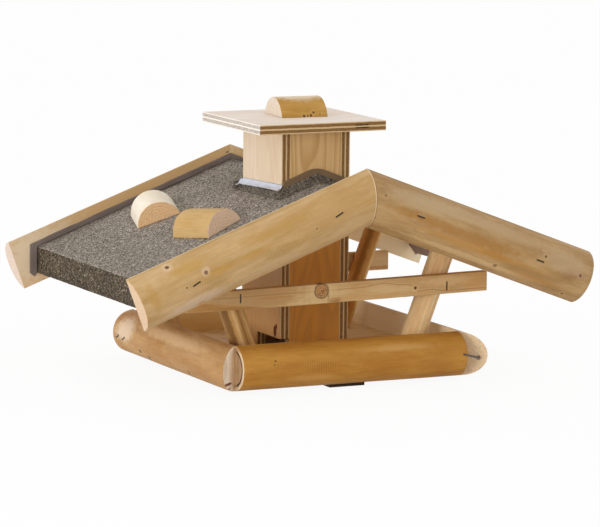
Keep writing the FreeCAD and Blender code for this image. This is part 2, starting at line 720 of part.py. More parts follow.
def make_lid(screws):
    """The lift-off lid: board, locating block inside the silo and a split-log knob."""
    half = "lid_side / 2"
    plate = board(
        "lid_board_blank", "XY_Plane", rectangle(f"-{half}", half, f"-{half}", half), "lid_thickness",
        x="-lid_left_shift", y="lid_back_shift", z=LID_UNDERSIDE,
    )
    inset = "silo_board_thickness - lid_block_gap"
    wide, deep = f"(silo_width / 2 - {inset})", f"(silo_depth / 2 - {inset})"
    plug = board(
        "lid_block_blank", "XY_Plane", rectangle(f"-{wide}", wide, f"-{deep}", deep), "lid_block_depth",
        z=f"{LID_UNDERSIDE} - lid_block_depth",
    )
    knob = new_body("lid_knob_blank")
    pad(knob, half_round(knob, "lid_knob_section", KNOB_LOG, 1), "knob_length", middle=True)
    place(knob, "knob_x", "knob_y", LID_TOP, [("0; 0; 1", "-knob_turn"), ("1; 0; 0", "90")])
    drill = screws["lid_screws"]
    return {
        "lid_board": cut("lid_board", plate, drill),
        "lid_block": cut("lid_block", plug, drill),
        "lid_knob": cut("lid_knob", knob, drill),
    }


def make_roof_blocks(screws):
    """Two short split logs on the left slope, turned away from each other."""
    parts = {}
    for end, reach, y, turn in ROOF_BLOCKS:
        name = f"roof_block_{end}"
        blank = new_body(f"{name}_blank")
        pad(blank, half_round(blank, f"{name}_section", BLOCK_LOG, 1), "roof_block_length", middle=True)
        turns = [("0; 1; 0", "-roof_pitch"), ("0; 0; 1", turn), ("1; 0; 0", "90")]
        place(blank, *on_slope(reach, y, "0"), turns)
        parts[name] = cut(name, blank, screws["block_screws"])
    return parts


def make_staples():
    """Wire staples in the verge logs, the rails and the tray."""
    barges = []
    for end, y, log, rise, _, pitch in VERGES:
        for side, x in SIDES:
            # The two staples of the front left log are driven in a little steeper.
            slope = f"({pitch} + front_left_staple_turn)" if y < 0 and x < 0 else pitch
            for level in ("upper", "lower"):
                reach, lift = VERGE_STAPLES[end, side, level]
                barges.append(
                    staple(
                        f"barge_staple_{end}_{side}_{level}",
                        "staple_crown",
                        f"{x} * {reach}",
                        f"{y} * ({VERGE} + {bark(log, lift)})",
                        f"{barge_middle(log, rise, pitch)} - {reach} * tan({pitch}) + {lift} / cos({pitch})",
                        [("0; 1; 0", f"{x} * {slope}"), ("0; 0; 1", "180" if y > 0 else "0")],
                    )
                )
    rails = [
        staple(
            f"rail_staple_{end}_{side}",
            "staple_crown",
            f"{x} * rail_staple_reach + {shift}",
            f"{post_y(y)} + {y} * ({diameter} / 2 + rail_thickness)",
            f"{FLOOR_TOP} + {clearance} + rail_height / 2",
            [("0; 0; 1", "180" if y > 0 else "0"), ("0; 1; 0", "90")],
        )
        for end, y, clearance, _, diameter, _, shift in RAILS
        for side, x in SIDES
    ]
    tray = [
        staple(
            f"tray_staple_{place_name}",
            "staple_crown",
            f"-tray_side / 2 - {bark(TRAY_LOG, f'{LOG_MIDDLE} - {FLOOR_TOP}')}",
            f"tray_side / 2 - left_staple_inset - {number} * left_staple_spacing",
            FLOOR_TOP,
            [("0; 0; 1", "-90"), ("0; 1; 0", "-left_staple_turn")],
        )
        for number, place_name in enumerate(("left_end", "left_inner"), start=0)
    ]
    tray.append(
        staple(
            "tray_staple_corner",
            "corner_staple_crown",
            "tray_side / 2 + corner_staple_reach",
            "-tray_side / 2 - tray_log_bulge + corner_staple_sink",
            LOG_MIDDLE,
            [("0; 0; 1", "corner_staple_turn"), ("0; 1; 0", "corner_staple_dip")],
        )
    )
    return {
        "barge_staples": group("barge_staples", barges),
        "rail_staples": group("rail_staples", rails),
        "tray_staples": group("tray_staples", tray),
    }


def check_and_export(parts):
    """Stop on any failed object or bad solid, then write one file for each sub-part."""
    doc.recompute()
    for item in doc.Objects:
        if {"Invalid", "Error"} & set(item.State):
            raise RuntimeError(f"{item.Name} failed: {item.State}")
    for name, part in parts.items():
        if part.Shape.isNull() or not part.Shape.isValid() or not part.Shape.Solids:
            raise RuntimeError(f"{name} has no valid solid")
    os.makedirs("parts", exist_ok=True)
    for name, part in parts.items():
        part.Shape.exportStep(f"parts/{name}.step")
        print(name, len(part.Shape.Solids), round(part.Shape.Volume))


def main():
    screws, holes = make_screws()
    parts = {**screws, **make_tray(screws, holes), **make_posts(screws), **make_roof(screws)}
    parts.update(make_barges())
    parts.update(make_silo(screws))
    parts.update(make_lid(screws))
    parts.update(make_roof_blocks(screws))
    parts.update(make_staples())
    check_and_export(parts)


main()
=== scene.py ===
"""Looks of the bird table: split logs, plywood, felt and fittings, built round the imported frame.

Metres, in the frame's own axes: +Z up, +X to the right slope, front at -Y. A tone is a colour seen on the
real piece: red, green and blue from 0 to 255. Knots, stains and other marks are placed in millimetres.
"""

import json
import math

import bmesh
import bpy
from bmesh.types import BMEdge, BMVert
from mathutils import Matrix, Vector, noise


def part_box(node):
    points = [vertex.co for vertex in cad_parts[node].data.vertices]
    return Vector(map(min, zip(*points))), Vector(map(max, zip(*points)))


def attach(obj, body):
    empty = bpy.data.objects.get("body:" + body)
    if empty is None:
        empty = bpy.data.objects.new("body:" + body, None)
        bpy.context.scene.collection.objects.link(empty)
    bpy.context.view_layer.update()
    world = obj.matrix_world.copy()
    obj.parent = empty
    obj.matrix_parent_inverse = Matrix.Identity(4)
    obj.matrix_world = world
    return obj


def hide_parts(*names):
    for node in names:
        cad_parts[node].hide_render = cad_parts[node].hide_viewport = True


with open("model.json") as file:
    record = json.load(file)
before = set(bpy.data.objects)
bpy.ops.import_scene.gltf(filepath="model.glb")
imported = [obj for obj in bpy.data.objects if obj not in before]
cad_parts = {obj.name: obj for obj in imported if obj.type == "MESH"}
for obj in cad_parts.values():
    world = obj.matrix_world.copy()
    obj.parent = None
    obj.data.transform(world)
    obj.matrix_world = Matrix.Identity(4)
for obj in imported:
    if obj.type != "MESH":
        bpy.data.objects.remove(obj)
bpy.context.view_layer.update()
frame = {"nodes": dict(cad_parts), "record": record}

MM = 0.001
PITCH = math.radians(20.66)
BODY_OF = {node: body for body, nodes in frame["record"]["behaviour"]["bodies"].items() for node in nodes}
X, Y, Z = Vector((1, 0, 0)), Vector((0, 1, 0)), Vector((0, 0, 1))
SIDES = (("left", -1), ("right", 1))
ENDS = (("front", -1), ("back", 1))


def shade(tone):
    """A tone as the linear colour that a shader takes."""
    parts = [value / 255 for value in tone]
    linear = [part / 12.92 if part <= 0.04045 else ((part + 0.055) / 1.055) ** 2.4 for part in parts]
    return (*linear, 1.0)


def clamp(value):
    return min(1.0, max(0.0, value))


def maths(operation, flip=False):
    """A Wire's method for two values; flip puts the other value first, as in 1 - mask."""
    def method(self, other):
        return self.work(operation, *((other, self) if flip else (self, other)))
    return method


class Wire:
    """A shader value that takes part in arithmetic; each operation adds its node."""

    def __init__(self, tree, socket):
        self.tree = tree
        self.socket = socket

    def work(self, operation, *values):
        return self.tree.node("ShaderNodeMath", {"operation": operation}, dict(enumerate(values)))

    __add__ = __radd__ = maths("ADD")
    __sub__, __rsub__ = maths("SUBTRACT"), maths("SUBTRACT", flip=True)
    __mul__ = __rmul__ = maths("MULTIPLY")
    __truediv__, __rtruediv__ = maths("DIVIDE"), maths("DIVIDE", flip=True)
    __pow__, __rpow__ = maths("POWER"), maths("POWER", flip=True)
    # The larger of two values.
    over = maths("MAXIMUM")

    def __abs__(self):
        return self.work("ABSOLUTE", self)

    def saw(self):
        """The part after the decimal point, which climbs from 0 to 1 again and again."""
        return self.work("FRACT", self)

    def sine(self):
        return self.work("SINE", self)

    def step(self, low, high):
        """0 below low, 1 above high and smooth between them."""
        settings = {"interpolation_type": "SMOOTHSTEP"}
        return self.tree.node("ShaderNodeMapRange", settings, {0: self, 1: low, 2: high, 3: 0.0, 4: 1.0})

    def within(self, reach, soft):
        """1 where the value is nearer to zero than reach."""
        return 1 - abs(self).step(reach - soft, reach + soft)

    def late_wood(self, start, full, end=0.9):
        """A growth ring's dark part: it comes slowly and ends at once."""
        return self.step(start, full) * (1 - self.step(end, 1.0))


class Tree:
    """Adds nodes to one node tree."""

    def __init__(self, tree):
        self.tree = tree

    def node(self, kind, settings=None, inputs=None, output=0):
        """Any node: its settings first, then the values or links of its sockets."""
        made = self.tree.nodes.new(kind)
        for name, value in (settings or {}).items():
            setattr(made, name, value)
        for name, value in (inputs or {}).items():
            self.put(made.inputs[name], value)
        return Wire(self, made.outputs[output])

    def put(self, socket, value):
        if isinstance(value, Wire):
            self.tree.links.new(value.socket, socket)
        else:
            socket.default_value = value

    def seen_directly(self):
        """1 for rays from the camera, off gloss and through glass."""
        rays = self.node("ShaderNodeLightPath").socket.node.outputs
        camera, gloss, glass = (
            Wire(self, rays[name]) for name in ("Is Camera Ray", "Is Glossy Ray", "Is Transmission Ray")
        )
        return camera.over(gloss).over(glass)


class Finish(Tree):
    """A material with a Principled shader at its end."""

    def __init__(self, name, **sockets):
        self.material = bpy.data.materials.new(name)
        self.material.use_nodes = True
        super().__init__(self.material.node_tree)
        self.shader = self.tree.nodes["Principled BSDF"]
        self.set(**sockets)

    def set(self, **sockets):
        for name, value in sockets.items():
            self.put(self.shader.inputs[name.replace("_", " ")], value)
        return self.material

    def grain(self):
        """The place in a piece's own wood: along the grain, out from its flat face, and across."""
        return self.node("ShaderNodeAttribute", {"attribute_name": "grain"}, output=1)

    def place(self):
        """The place on the table."""
        return self.node("ShaderNodeTexCoord", output=3)

    def split(self, vector):
        made = self.node("ShaderNodeSeparateXYZ", inputs={0: vector}).socket.node
        return [Wire(self, socket) for socket in made.outputs]

    def stretch(self, vector, scale, shift=(0, 0, 0)):
        return self.node("ShaderNodeMapping", inputs={0: vector, 1: shift, 3: scale})

    def moved(self, vector, seed):
        """Another part of the same patterns, so that no two pieces look alike."""
        return self.stretch(vector, (1, 1, 1), (seed, seed * 0.7, seed * 1.3))

    def noise(self, vector, scale, detail=2.0, rough=0.5):
        """Noise with one scale, or with one for each axis."""
        if isinstance(scale, tuple):
            vector, scale = self.stretch(vector, scale), 1.0
        inputs = {"Vector": vector, "Scale": scale, "Detail": detail, "Roughness": rough}
        return self.node("ShaderNodeTexNoise", inputs=inputs)

    def vector(self, operation, first, second=(0, 0, 0), output=0):
        return self.node("ShaderNodeVectorMath", {"operation": operation}, {0: first, 1: second}, output)

    def spot(self, vector, middle, size):
        """How far out in an oval spot a place lies: 1 on its rim. An axis whose size is 0 isn't counted."""
        scale = [2 / (side * MM) if side else 0.0 for side in size]
        shift = [-2 * place / side if side else 0.0 for place, side in zip(middle, size)]
        return self.vector("LENGTH", self.stretch(vector, scale, shift), output=1)

    def mix(self, factor, *colors):
        """Blends two colours, each a tone or a link."""
        first, second = (shade(color) if isinstance(color, tuple) else color for color in colors)
        settings = {"data_type": "RGBA", "clamp_factor": True}
        return self.node("ShaderNodeMix", settings, {0: factor, 6: first, 7: second}, output=2)

    def coat(self, factor, color):
        """Lays a tone, or a linked colour, over the finish's colour so far."""
        self.color = self.mix(factor, self.color, color)

    def bump(self, height, depth):
        return self.node("ShaderNodeBump", inputs={"Height": height, "Distance": depth, "Strength": 1.0})

    def course(self, along, points):
        """Where a growth line lies across the grain, as it runs through the given points."""
        line = points[0][1] * MM
        for (start, low), (end, high) in zip(points, points[1:]):
            line = line + along.step(start * MM, end * MM) * ((high - low) * MM)
        return line


KNOT_HEART, KNOT_RIM = (104, 66, 38), (78, 46, 26)
KNOT_CRACKED, KNOT_RING = (196, 144, 86), (138, 86, 42)
LARGE_KNOT = 5
SEAM_LINE = (158, 104, 50)
RESIN = (196, 150, 60)
SPLIT_DARK = (62, 38, 24)
CHATTER_PITCH = 3.1 * MM


def timber(name, tones, pith=0.0, ring=3.4 * MM, lines=0.16, streaks=0.3, chatter=0.0, seed=0.0,
           knots=(), stains_and_painted_light=(), slots=(), seam=None, resin=0.0, flat=None, mitre=None):
    """Peeled or planed softwood: growth rings as the surface meets them, fibres, streaks and knots.

    A knot is its place along, its direction in degrees from straight out, its radius and its strength. A
    stain, or a patch of painted light or shade, is its place along and across, its length and width, its
    tone and its strength. A slot is its place along and across, its turn in degrees and its length.
    """
    pale, warm, dark = tones
    wood = Finish(name, Specular_IOR_Level=0.25)
    grain = wood.grain()
    along, out, across = wood.split(grain)
    seeded = wood.moved(grain, seed)
    wander = wood.noise(seeded, (9, 38, 38), 3.0) - 0.5
    ragged = wood.noise(seeded, (150, 210, 210)) - 0.5
    rings = ((out - pith) ** 2 + across ** 2) ** 0.5 + wander * 12 * MM
    branches = []
    for reach, angle, size, depth in knots:
        # A knot is a branch, which grows straight out from the pith. Its share is 1 at its own radius.
        heading = (0.0, math.cos(math.radians(angle)), math.sin(math.radians(angle)))
        offset = wood.vector("SUBTRACT", grain, (reach * MM, pith, 0.0))
        beside = wood.vector("CROSS_PRODUCT", offset, heading)
        gap = wood.vector("LENGTH", beside, output=1) + (wander * 0.3 + ragged * 0.8) * min(size, 2.5) * MM
        share = gap / (size * MM)
        rings = rings + (1 - share.step(0.9, 3.4)) * size * 1.3 * MM
        branches.append((gap, share, size, depth))
    late = (rings / ring).saw().late_wood(0.25, 0.86)
    blotch = wood.noise(seeded, (13, 46, 46), 4.0, 0.6)
    streak = wood.noise(seeded, (5, 130, 130), 3.0, 0.6)
    fibre = wood.noise(seeded, (60, 700, 700), rough=0.6)
    wood.color = wood.mix((blotch - 0.5) * 3.6 + 0.5, pale, warm)
    wood.coat((streak - 0.44) * 2.2 * streaks, dark)
    wood.coat(late * lines, dark)
    wood.coat((fibre - 0.4) * 0.6, dark)
    height = late * 0.25 + fibre * 0.3 + streak * 0.3
    if chatter:
        # The peeling knife left fine ripples across the grain, in patches.
        marks = (along * (2 * math.pi / CHATTER_PITCH) + (wander + ragged * 0.3) * 8).sine()
        marks = marks * wood.noise(seeded, (10, 26, 26)).step(0.48, 0.68)
        wood.coat(marks * chatter, pale)
        wood.coat(marks * -chatter, dark)
        height = height + marks * 0.5
    if resin:
        spots = wood.noise(seeded, (26, 70, 70), 1.0).step(0.66, 0.74)
        wood.coat(spots * resin, RESIN)
    # A flat face takes its own tone; where that is near-white, it is painted light for a face that looks
    # into shade.
    if flat:
        wood.coat((1 - out.step(0.2 * MM, 1.2 * MM)) * (1 - (streak - 0.4) * streaks), flat)
    for reach, level, length, width, tone, strength in stains_and_painted_light:
        gap = wood.spot(grain, (reach, 0, level), (length, 0, width)) + wander * 0.9 + ragged * 0.7
        wood.coat((1 - gap.step(0.35, 1.05)) * strength, tone)
    if seam:
        # Above a seam the wood is a little darker, and the seam itself is one late growth line.
        points, strength = seam
        offset = across - wood.course(along, points) + wander * 1.5 * MM
        wood.coat((1 - offset.step(-4 * MM, 0.0)) * strength, dark)
        wood.coat(offset.within(0.6 * MM, 0.8 * MM) * 0.6, SEAM_LINE)
    for gap, share, size, depth in branches:
        wood.coat((1 - share.step(1.1, 3.0)) * 0.5 * depth, pale)
        if size > LARGE_KNOT:
            # A large knot has rings of its own, a brown rim and drying cracks.
            inner = ((gap + ragged * 1.2 * MM) / (0.42 * MM)).sine() * 0.5 + 0.5
            cracks = (ragged * 0.6 + wander * 0.4).within(0.02, 0.02)
            core = wood.mix(inner * 0.65, KNOT_CRACKED, KNOT_RING)
            core = wood.mix(cracks * 0.6, core, KNOT_RIM)
            rim = (share - 0.93).within(0.1, 0.1) * 0.75
        else:
            core = wood.mix(late * 0.6 + fibre * 0.6 + ragged, KNOT_HEART, KNOT_RIM)
            rim = (share - 0.93).within(0.1, 0.12) * 0.7
        wood.coat((1 - share.step(0.6, 1.15)) * depth, core)
        wood.coat(rim * depth, KNOT_RIM)
        height = height - rim * 0.6 * depth
    if mitre:
        # At the ridge the sawn rim shows as a narrow line.
        width, tone, strength = mitre
        ridge = abs(wood.split(wood.place())[0])
        wood.coat((1 - ridge.step(width * 0.7 * MM, width * 1.3 * MM)) * strength, tone)
    for reach, level, tilt, length in slots:
        # Where a staple was driven in, its slot is painted dark as the shade in it, with a pale line beside
        # it: a painted highlight on the slot's edge.
        spot = wood.node("ShaderNodeMapping", {"vector_type": "TEXTURE"}, {
            0: grain, 1: (reach * MM, 0.0, level * MM), 2: (0.0, math.radians(tilt), 0.0),
        })
        ahead, _, beside = wood.split(spot)
        near = ahead.within(length * 0.5 * MM, 0.4 * MM) * out.step(0.0, 4 * MM)
        slot_shade = near * beside.within(0.9 * MM, 0.35 * MM)
        lip_highlight = near * (beside + 1.8 * MM).within(0.5 * MM, 0.6 * MM)
        wood.coat(lip_highlight * 0.5, pale)
        wood.coat(slot_shade * 0.92, SPLIT_DARK)
        height = height - slot_shade * 3
    bump = wood.bump(height, 0.25 * MM)
    return wood.set(Base_Color=wood.color, Roughness=0.5 + fibre * 0.25, Normal=bump)


DRYING_SPLIT, SHAKE_RIM, SHAKE_GAP = (96, 52, 26), (246, 226, 196), (72, 44, 26)


def end_grain(name, tones, pith=0.0, ring=2.8 * MM, splits=(), seed=0.0, lines=0.38, shake=None, stains_and_painted_light=()):
    """Sawn end of a log: rings round the pith, saw marks and drying splits.

    A split is its direction in degrees, its width and its length. A stain, or a patch of painted light, is
    its place out and across, its size in both, its tone and its strength.
    """
    pale, dark = tones
    wood = Finish(name, Specular_IOR_Level=0.2, Roughness=0.85)
    grain = wood.grain()
    _, out, across = wood.split(grain)
    seeded = wood.moved(grain, seed)
    wander = wood.noise(seeded, 55.0, 3.0) - 0.5
    radius = ((out - pith) ** 2 + across ** 2) ** 0.5
    late = ((radius + wander * 6 * MM) / ring).saw().late_wood(0.2, 0.85)
    marks = wood.noise(seeded, (300, 50, 700))
    mottle = wood.noise(seeded, 420.0, 4.0, 0.8)
    wood.color = wood.mix(late * lines + (mottle - 0.46) * 2.0, pale, dark)
    wood.coat((marks - 0.45) * 0.4, dark)
    height = late * 0.3 + marks * 0.5 + mottle * 0.6
    for angle, width, reach in splits:
        # A split runs from the pith outwards and narrows to nothing.
        sine, cosine = math.sin(math.radians(angle)), math.cos(math.radians(angle))
        beside = abs(across * cosine - (out - pith) * sine + wander * 4 * MM)
        ahead = (out - pith) * cosine + across * sine
        taper = (1 - abs(ahead / (reach * MM) - 0.55) * 1.6) * width * MM
        gap = (1 - (beside - taper).step(-0.3 * MM, 0.3 * MM)) * ahead.step(0.0, 2 * MM)
        wood.coat(gap * 0.9, DRYING_SPLIT)
        height = height - gap * 3
    if shake:
        # The outermost ring has come away from the rest and left a dark curved gap.
        log, depth, low, high = shake
        inward = log.radius - ((out - (log.bulge - log.radius)) ** 2 + across ** 2) ** 0.5
        reach = (across - low * MM).step(-2 * MM, 2 * MM) * (1 - (across - high * MM).step(-2 * MM, 2 * MM))
        line = inward + wander * 1.5 * MM - depth * MM
        rim = (1 - line.step(-0.3 * MM, 0.3 * MM)) * reach
        gap = (line - 1.4 * MM).within(1.2 * MM, 0.5 * MM) * reach
        wood.coat(rim * 0.8, SHAKE_RIM)
        wood.coat(gap * 0.92, SHAKE_GAP)
        height = height - gap * 3
    for level, reach, width, length, tone, strength in stains_and_painted_light:
        gap = wood.spot(grain, (0, level, reach), (0, width, length)) + wander * 1.2 + (mottle - 0.5) * 0.8
        wood.coat((1 - gap.step(0.5, 1.0)) * strength, tone)
    return wood.set(Base_Color=wood.color, Normal=wood.bump(height, 0.3 * MM))


def veneer(name, tones, contrast=0.45, knots=(), seed=0.0, wash=None):
    """Plywood's rotary-cut face: wide flame-shaped growth lines and short fibres."""
    pale, warm, dark = tones
    wood = Finish(name, Specular_IOR_Level=0.3)
    grain = wood.grain()
    seeded = wood.stretch(grain, (1, 0, 1), (seed, 0, seed * 1.3))
    flame = wood.noise(seeded, (3.4, 1, 21), 1.5, 0.4) * 13.0
    knotted = 0.0
    for reach, level, size in knots:
        offset = wood.vector("SUBTRACT", grain, (reach * MM, 0.0, level * MM))
        flat = wood.vector("MULTIPLY", offset, (0.6, 0.0, 1.0))
        share = wood.vector("LENGTH", flat, output=1) / (size * MM)
        flame = flame + (1 - share.step(0.0, 4.0)) * 2.5
        knotted = (1 - share.step(0.7, 1.0)).over(knotted)
    late = flame.saw().late_wood(0.15, 0.85, 0.88)
    blotch = wood.noise(seeded, (5, 1, 18), 3.0)
    fibre = wood.noise(seeded, (18, 1, 640), rough=0.6)
    wood.color = wood.mix((blotch - 0.5) * 2.4 + 0.5, pale, warm)
    wood.coat(late * contrast, dark)
    wood.coat((fibre - 0.42) * 0.55, dark)
    if wash:
        # The lower part, which stands under the roof, is painted darker and more orange: painted shade.
        low, high, tone, strength = wash
        along = wood.split(grain)[0]
        under_roof_shade = 1 - (along + (blotch - 0.5) * 40 * MM).step(low * MM, high * MM)
        wood.coat(under_roof_shade * strength, wood.mix(late * 0.4, tone, dark))
    if knots:
        wood.coat(knotted, wood.mix(fibre, (120, 44, 22), (76, 26, 14)))
    height = late * 0.3 + fibre * 0.4
    bump = wood.bump(height, 0.15 * MM)
    return wood.set(Base_Color=wood.color, Roughness=0.55 + fibre * 0.2, Normal=bump)


PLY = 12 * MM
PLY_FLECK, PLY_GLUE = (84, 54, 32), (110, 80, 52)


def ply_edge(name, tones, voids=(), seed=0.0):
    """Plywood's sawn edge: three pale plies with two thick brown ones between them, and glue lines."""
    pale, brown = tones
    wood = Finish(name, Specular_IOR_Level=0.2, Roughness=0.8)
    grain = wood.grain()
    along, out, _ = wood.split(grain)
    seeded = wood.stretch(grain, (1, 1, 1), (seed, 0, seed * 1.3))
    waver = (wood.noise(seeded, 60.0, 4.0, 0.7) - 0.5) * 0.1
    level = abs(out / PLY - 0.5 + waver)
    crossed = level.step(0.085, 0.1) * (1 - level.step(0.375, 0.39))
    glue = (level - 0.09).within(0.014, 0.008).over((level - 0.385).within(0.014, 0.008))
    fleck = wood.noise(seeded, (220, 1500, 220))
    wood.color = wood.mix(crossed, pale, brown)
    wood.coat((fleck - 0.44) * (crossed * 1.7 + 0.4), PLY_FLECK)
    wood.coat(glue * 0.45, PLY_GLUE)
    height = fleck * 0.5 - crossed * 0.2
    for start, end in voids:
        # Where the core ply stops short, the edge shows a dark gap.
        middle, half = (start + end) / 2 * MM, (end - start) / 2 * MM
        gap = (along - middle).within(half, 2 * MM) * (level - 0.13).within(0.05, 0.03)
        wood.coat(gap * 0.85, SPLIT_DARK)
        height = height - gap * 3
    return wood.set(Base_Color=wood.color, Normal=wood.bump(height, 0.3 * MM))


def granules(name, pale, dark, fleck, darker_felt=0.0):
    """Mineral felt: a bed of small stones of mixed brightness pressed into bitumen."""
    felt = Finish(name, Roughness=0.9, Specular_IOR_Level=0.2)
    place = felt.place()
    stones = {"Vector": place, "Scale": 660.0}
    distance = felt.node("ShaderNodeTexVoronoi", inputs=stones)
    red, green, blue = felt.split(felt.node("ShaderNodeTexVoronoi", inputs=stones, output=1))
    drift = felt.noise(place, 14.0, 5.0, 0.65)
    patch = felt.noise(place, 150.0, 2.0, 0.6)
    felt.color = felt.mix(red ** 1.2, dark, pale)
    felt.coat(green.step(0.93, 0.96) * 0.8, fleck)
    felt.coat((drift - 0.45) * 0.8 + (patch - 0.5) * 0.5, dark)
    # Along the verges, beside the strips, the stones are painted darker: painted shadow. The felt is also
    # darker towards the eaves.
    reach, across, _ = felt.split(place)
    felt.coat((abs(across) + (patch - 0.5) * 20 * MM).step(172 * MM, 196 * MM) * darker_felt, dark)
    felt.coat(abs(reach).step(90 * MM, 262 * MM) * 0.22, dark)
    # In front of the silo and behind it, near the ridge, the stones are painted darker: painted shade of the
    # silo.
    silo_shade = (1 - abs(reach).step(40 * MM, 110 * MM)) * abs(across).step(50 * MM, 66 * MM)
    felt.coat(silo_shade * 0.25, dark)
    height = (1 - distance * 1.2) * (0.3 + blue * 0.7) + patch * 0.8
    return felt.set(Base_Color=felt.color, Normal=felt.bump(height, 0.8 * MM))


def smooth_felt(name, color, dark):
    """Bitumen strip with a fine even skin."""
    felt = Finish(name, Roughness=0.75, Specular_IOR_Level=0.25)
    place = felt.place()
    fine = felt.noise(place, 900.0, 3.0)
    slow = felt.noise(place, 45.0, 3.0)
    tone = felt.mix((fine - 0.4) * 0.6 + (slow - 0.45) * 0.9, color, dark)
    return felt.set(Base_Color=tone, Normal=felt.bump(fine * 0.4 + slow, 0.4 * MM))


TARNISH = (96, 92, 88)


def metal(name, color, rough, metallic=1.0):
    """Bare or coated metal with a faint uneven polish."""
    sheet = Finish(name, Metallic=metallic)
    place = sheet.place()
    cloud = sheet.noise(place, 120.0, 4.0, 0.6)
    scratch = sheet.noise(place, (120, 900, 900))
    tone = sheet.mix((cloud - 0.4) * 0.4, color, TARNISH)
    polish = rough + (scratch - 0.5) * 0.25
    return sheet.set(Base_Color=tone, Roughness=polish, Normal=sheet.bump(cloud + scratch * 0.3, 0.2 * MM))


def wood_frame(origin, along, out):
    """The matrix of a piece's wood: X along the grain, Y out from its flat face, Z across."""
    along, out = Vector(along).normalized(), Vector(out).normalized()
    matrix = Matrix((along, out, along.cross(out))).transposed().to_4x4()
    matrix.translation = origin
    return matrix


def quarter_turn(place, axis):
    """Turns a new circle or cone by a right angle about an axis and moves it to its place."""
    return Matrix.Translation(place) @ Matrix.Rotation(math.radians(90), 4, axis)


def add_object(name, data):
    made = bpy.data.objects.new(name, data)
    bpy.context.scene.collection.objects.link(made)
    return made


def mesh_of(bm, name, materials=()):
    """The finished mesh, with its materials."""
    mesh = bpy.data.meshes.new(name)
    bm.to_mesh(mesh)
    bm.free()
    for material in materials:
        mesh.materials.append(material)
    return mesh


def keep_piece(bm, node, wood, materials, cut_end=None, extra=None):
    """Turns a mesh into the piece that stands for its node, or is an extra beside it, with its grain."""
    bmesh.ops.recalc_face_normals(bm, faces=bm.faces)
    grain = bm.verts.layers.float_vector.new("grain")
    inward = wood.inverted()
    turn = inward.to_3x3()
    for vert in bm.verts:
        vert[grain] = inward @ vert.co
    for face in bm.faces:
        if cut_end:
            face.material_index = int(cut_end(turn @ face.normal))
        narrow = min(edge.calc_length() for edge in face.edges) < 3 * MM
        face.smooth = narrow and len(face.verts) < 6
    name = extra or f"{node}_dressed"
    piece = add_object(name, mesh_of(bm, name, materials))
    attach(piece, BODY_OF[node])
    if not extra:
        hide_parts(node)
    return piece


def across_grain(normal):
    """True for a face sawn across a log or batten."""
    return abs(normal.x) > 0.6


def through_plies(normal):
    """True for an edge of a plywood board."""
    return abs(normal.y) < 0.75


def through_side_plies(normal):
    """An edge of a plywood board, told apart where it looks to the left."""
    return 0 if abs(normal.y) > 0.75 else 2 if normal.x < -0.7 else 1


def wrapped_batten(normal):
    """A batten's sawn ends, and the inner side that the felt is folded over."""
    return 1 if abs(normal.x) > 0.6 else 2 * (normal.y < -0.6)


def waned_rail(normal):
    """A rail's sawn ends, and the sloping wane face."""
    return 1 if abs(normal.x) > 0.6 else 2 * (0.7 < normal.y < 0.93 and 0.4 < normal.z < 0.7)


def hanging_felt(normal):
    """True where the felt turns away from its slope, as it does at the eave."""
    return normal.y < math.cos(math.radians(40))


def copy_of(node):
    """A node's solids in one mesh, with doubled points merged and flat faces whole."""
    bm = bmesh.new()
    bm.from_mesh(frame["nodes"][node].data)
    bmesh.ops.remove_doubles(bm, verts=bm.verts, dist=1e-6)
    bmesh.ops.dissolve_limit(bm, angle_limit=math.radians(1), verts=bm.verts, edges=bm.edges)
    return bm


def sharp_edges(bm):
    """The edges at which two faces meet at more than 35 degrees."""
    limit = math.radians(35)
    return [edge for edge in bm.edges if len(edge.link_faces) == 2 and edge.calc_face_angle() > limit]


def ease(bm, width, segments=2, edges=None):
    """Rounds off the sharp edges, as sanding does."""
    bmesh.ops.bevel(
        bm, geom=sharp_edges(bm) if edges is None else edges, offset=width, offset_type="OFFSET",
        segments=segments, profile=0.5, affect="EDGES", material=-1, clamp_overlap=True,
    )


def dress(node, wood, materials, cut_end=None, arris=0.8 * MM):
    """Keeps a node's own shape, with its arrises eased."""
    bm = copy_of(node)
    ease(bm, arris)
    keep_piece(bm, node, wood, materials, cut_end)


def whole(bm):
    return bm.verts[:] + bm.edges[:] + bm.faces[:]


def only(kind, items):
    """The points or the edges among what an operator gives back."""
    return [item for item in items if isinstance(item, kind)]


def slice_off(bm, point, normal):
    """Saws off what lies on the normal's side of a plane and closes the cut."""
    cut = bmesh.ops.bisect_plane(
        bm, geom=whole(bm), dist=1e-7, plane_co=point, plane_no=normal, clear_outer=True
    )
    bmesh.ops.edgeloop_fill(bm, edges=only(BMEdge, cut["geom_cut"]))


def divide(bm, axis, spacing):
    """Cuts a mesh along planes square to an axis, so that it can take a soft shape."""
    reaches = [axis.dot(vert.co) for vert in bm.verts]
    low, high = min(reaches), max(reaches)
    count = max(1, round((high - low) / spacing))
    for number in range(1, count):
        point = axis * (low + (high - low) * number / count)
        bmesh.ops.bisect_plane(bm, geom=whole(bm), dist=1e-6, plane_co=point, plane_no=axis)


POLE_STEP = 5 * MM


def pole(start, end, radius, around=96):
    """A round pole along X, divided along its length."""
    bm = bmesh.new()
    length = end - start
    bmesh.ops.create_cone(
        bm, cap_ends=True, segments=around, radius1=radius, radius2=radius, depth=length,
        matrix=quarter_turn(((start + end) / 2, 0, 0), "Y"),
    )
    long_edges = [edge for edge in bm.edges if abs(edge.verts[0].co.x - edge.verts[1].co.x) > length / 2]
    bmesh.ops.subdivide_edges(bm, edges=long_edges, cuts=int(length / POLE_STEP), use_grid_fill=True)
    return bm


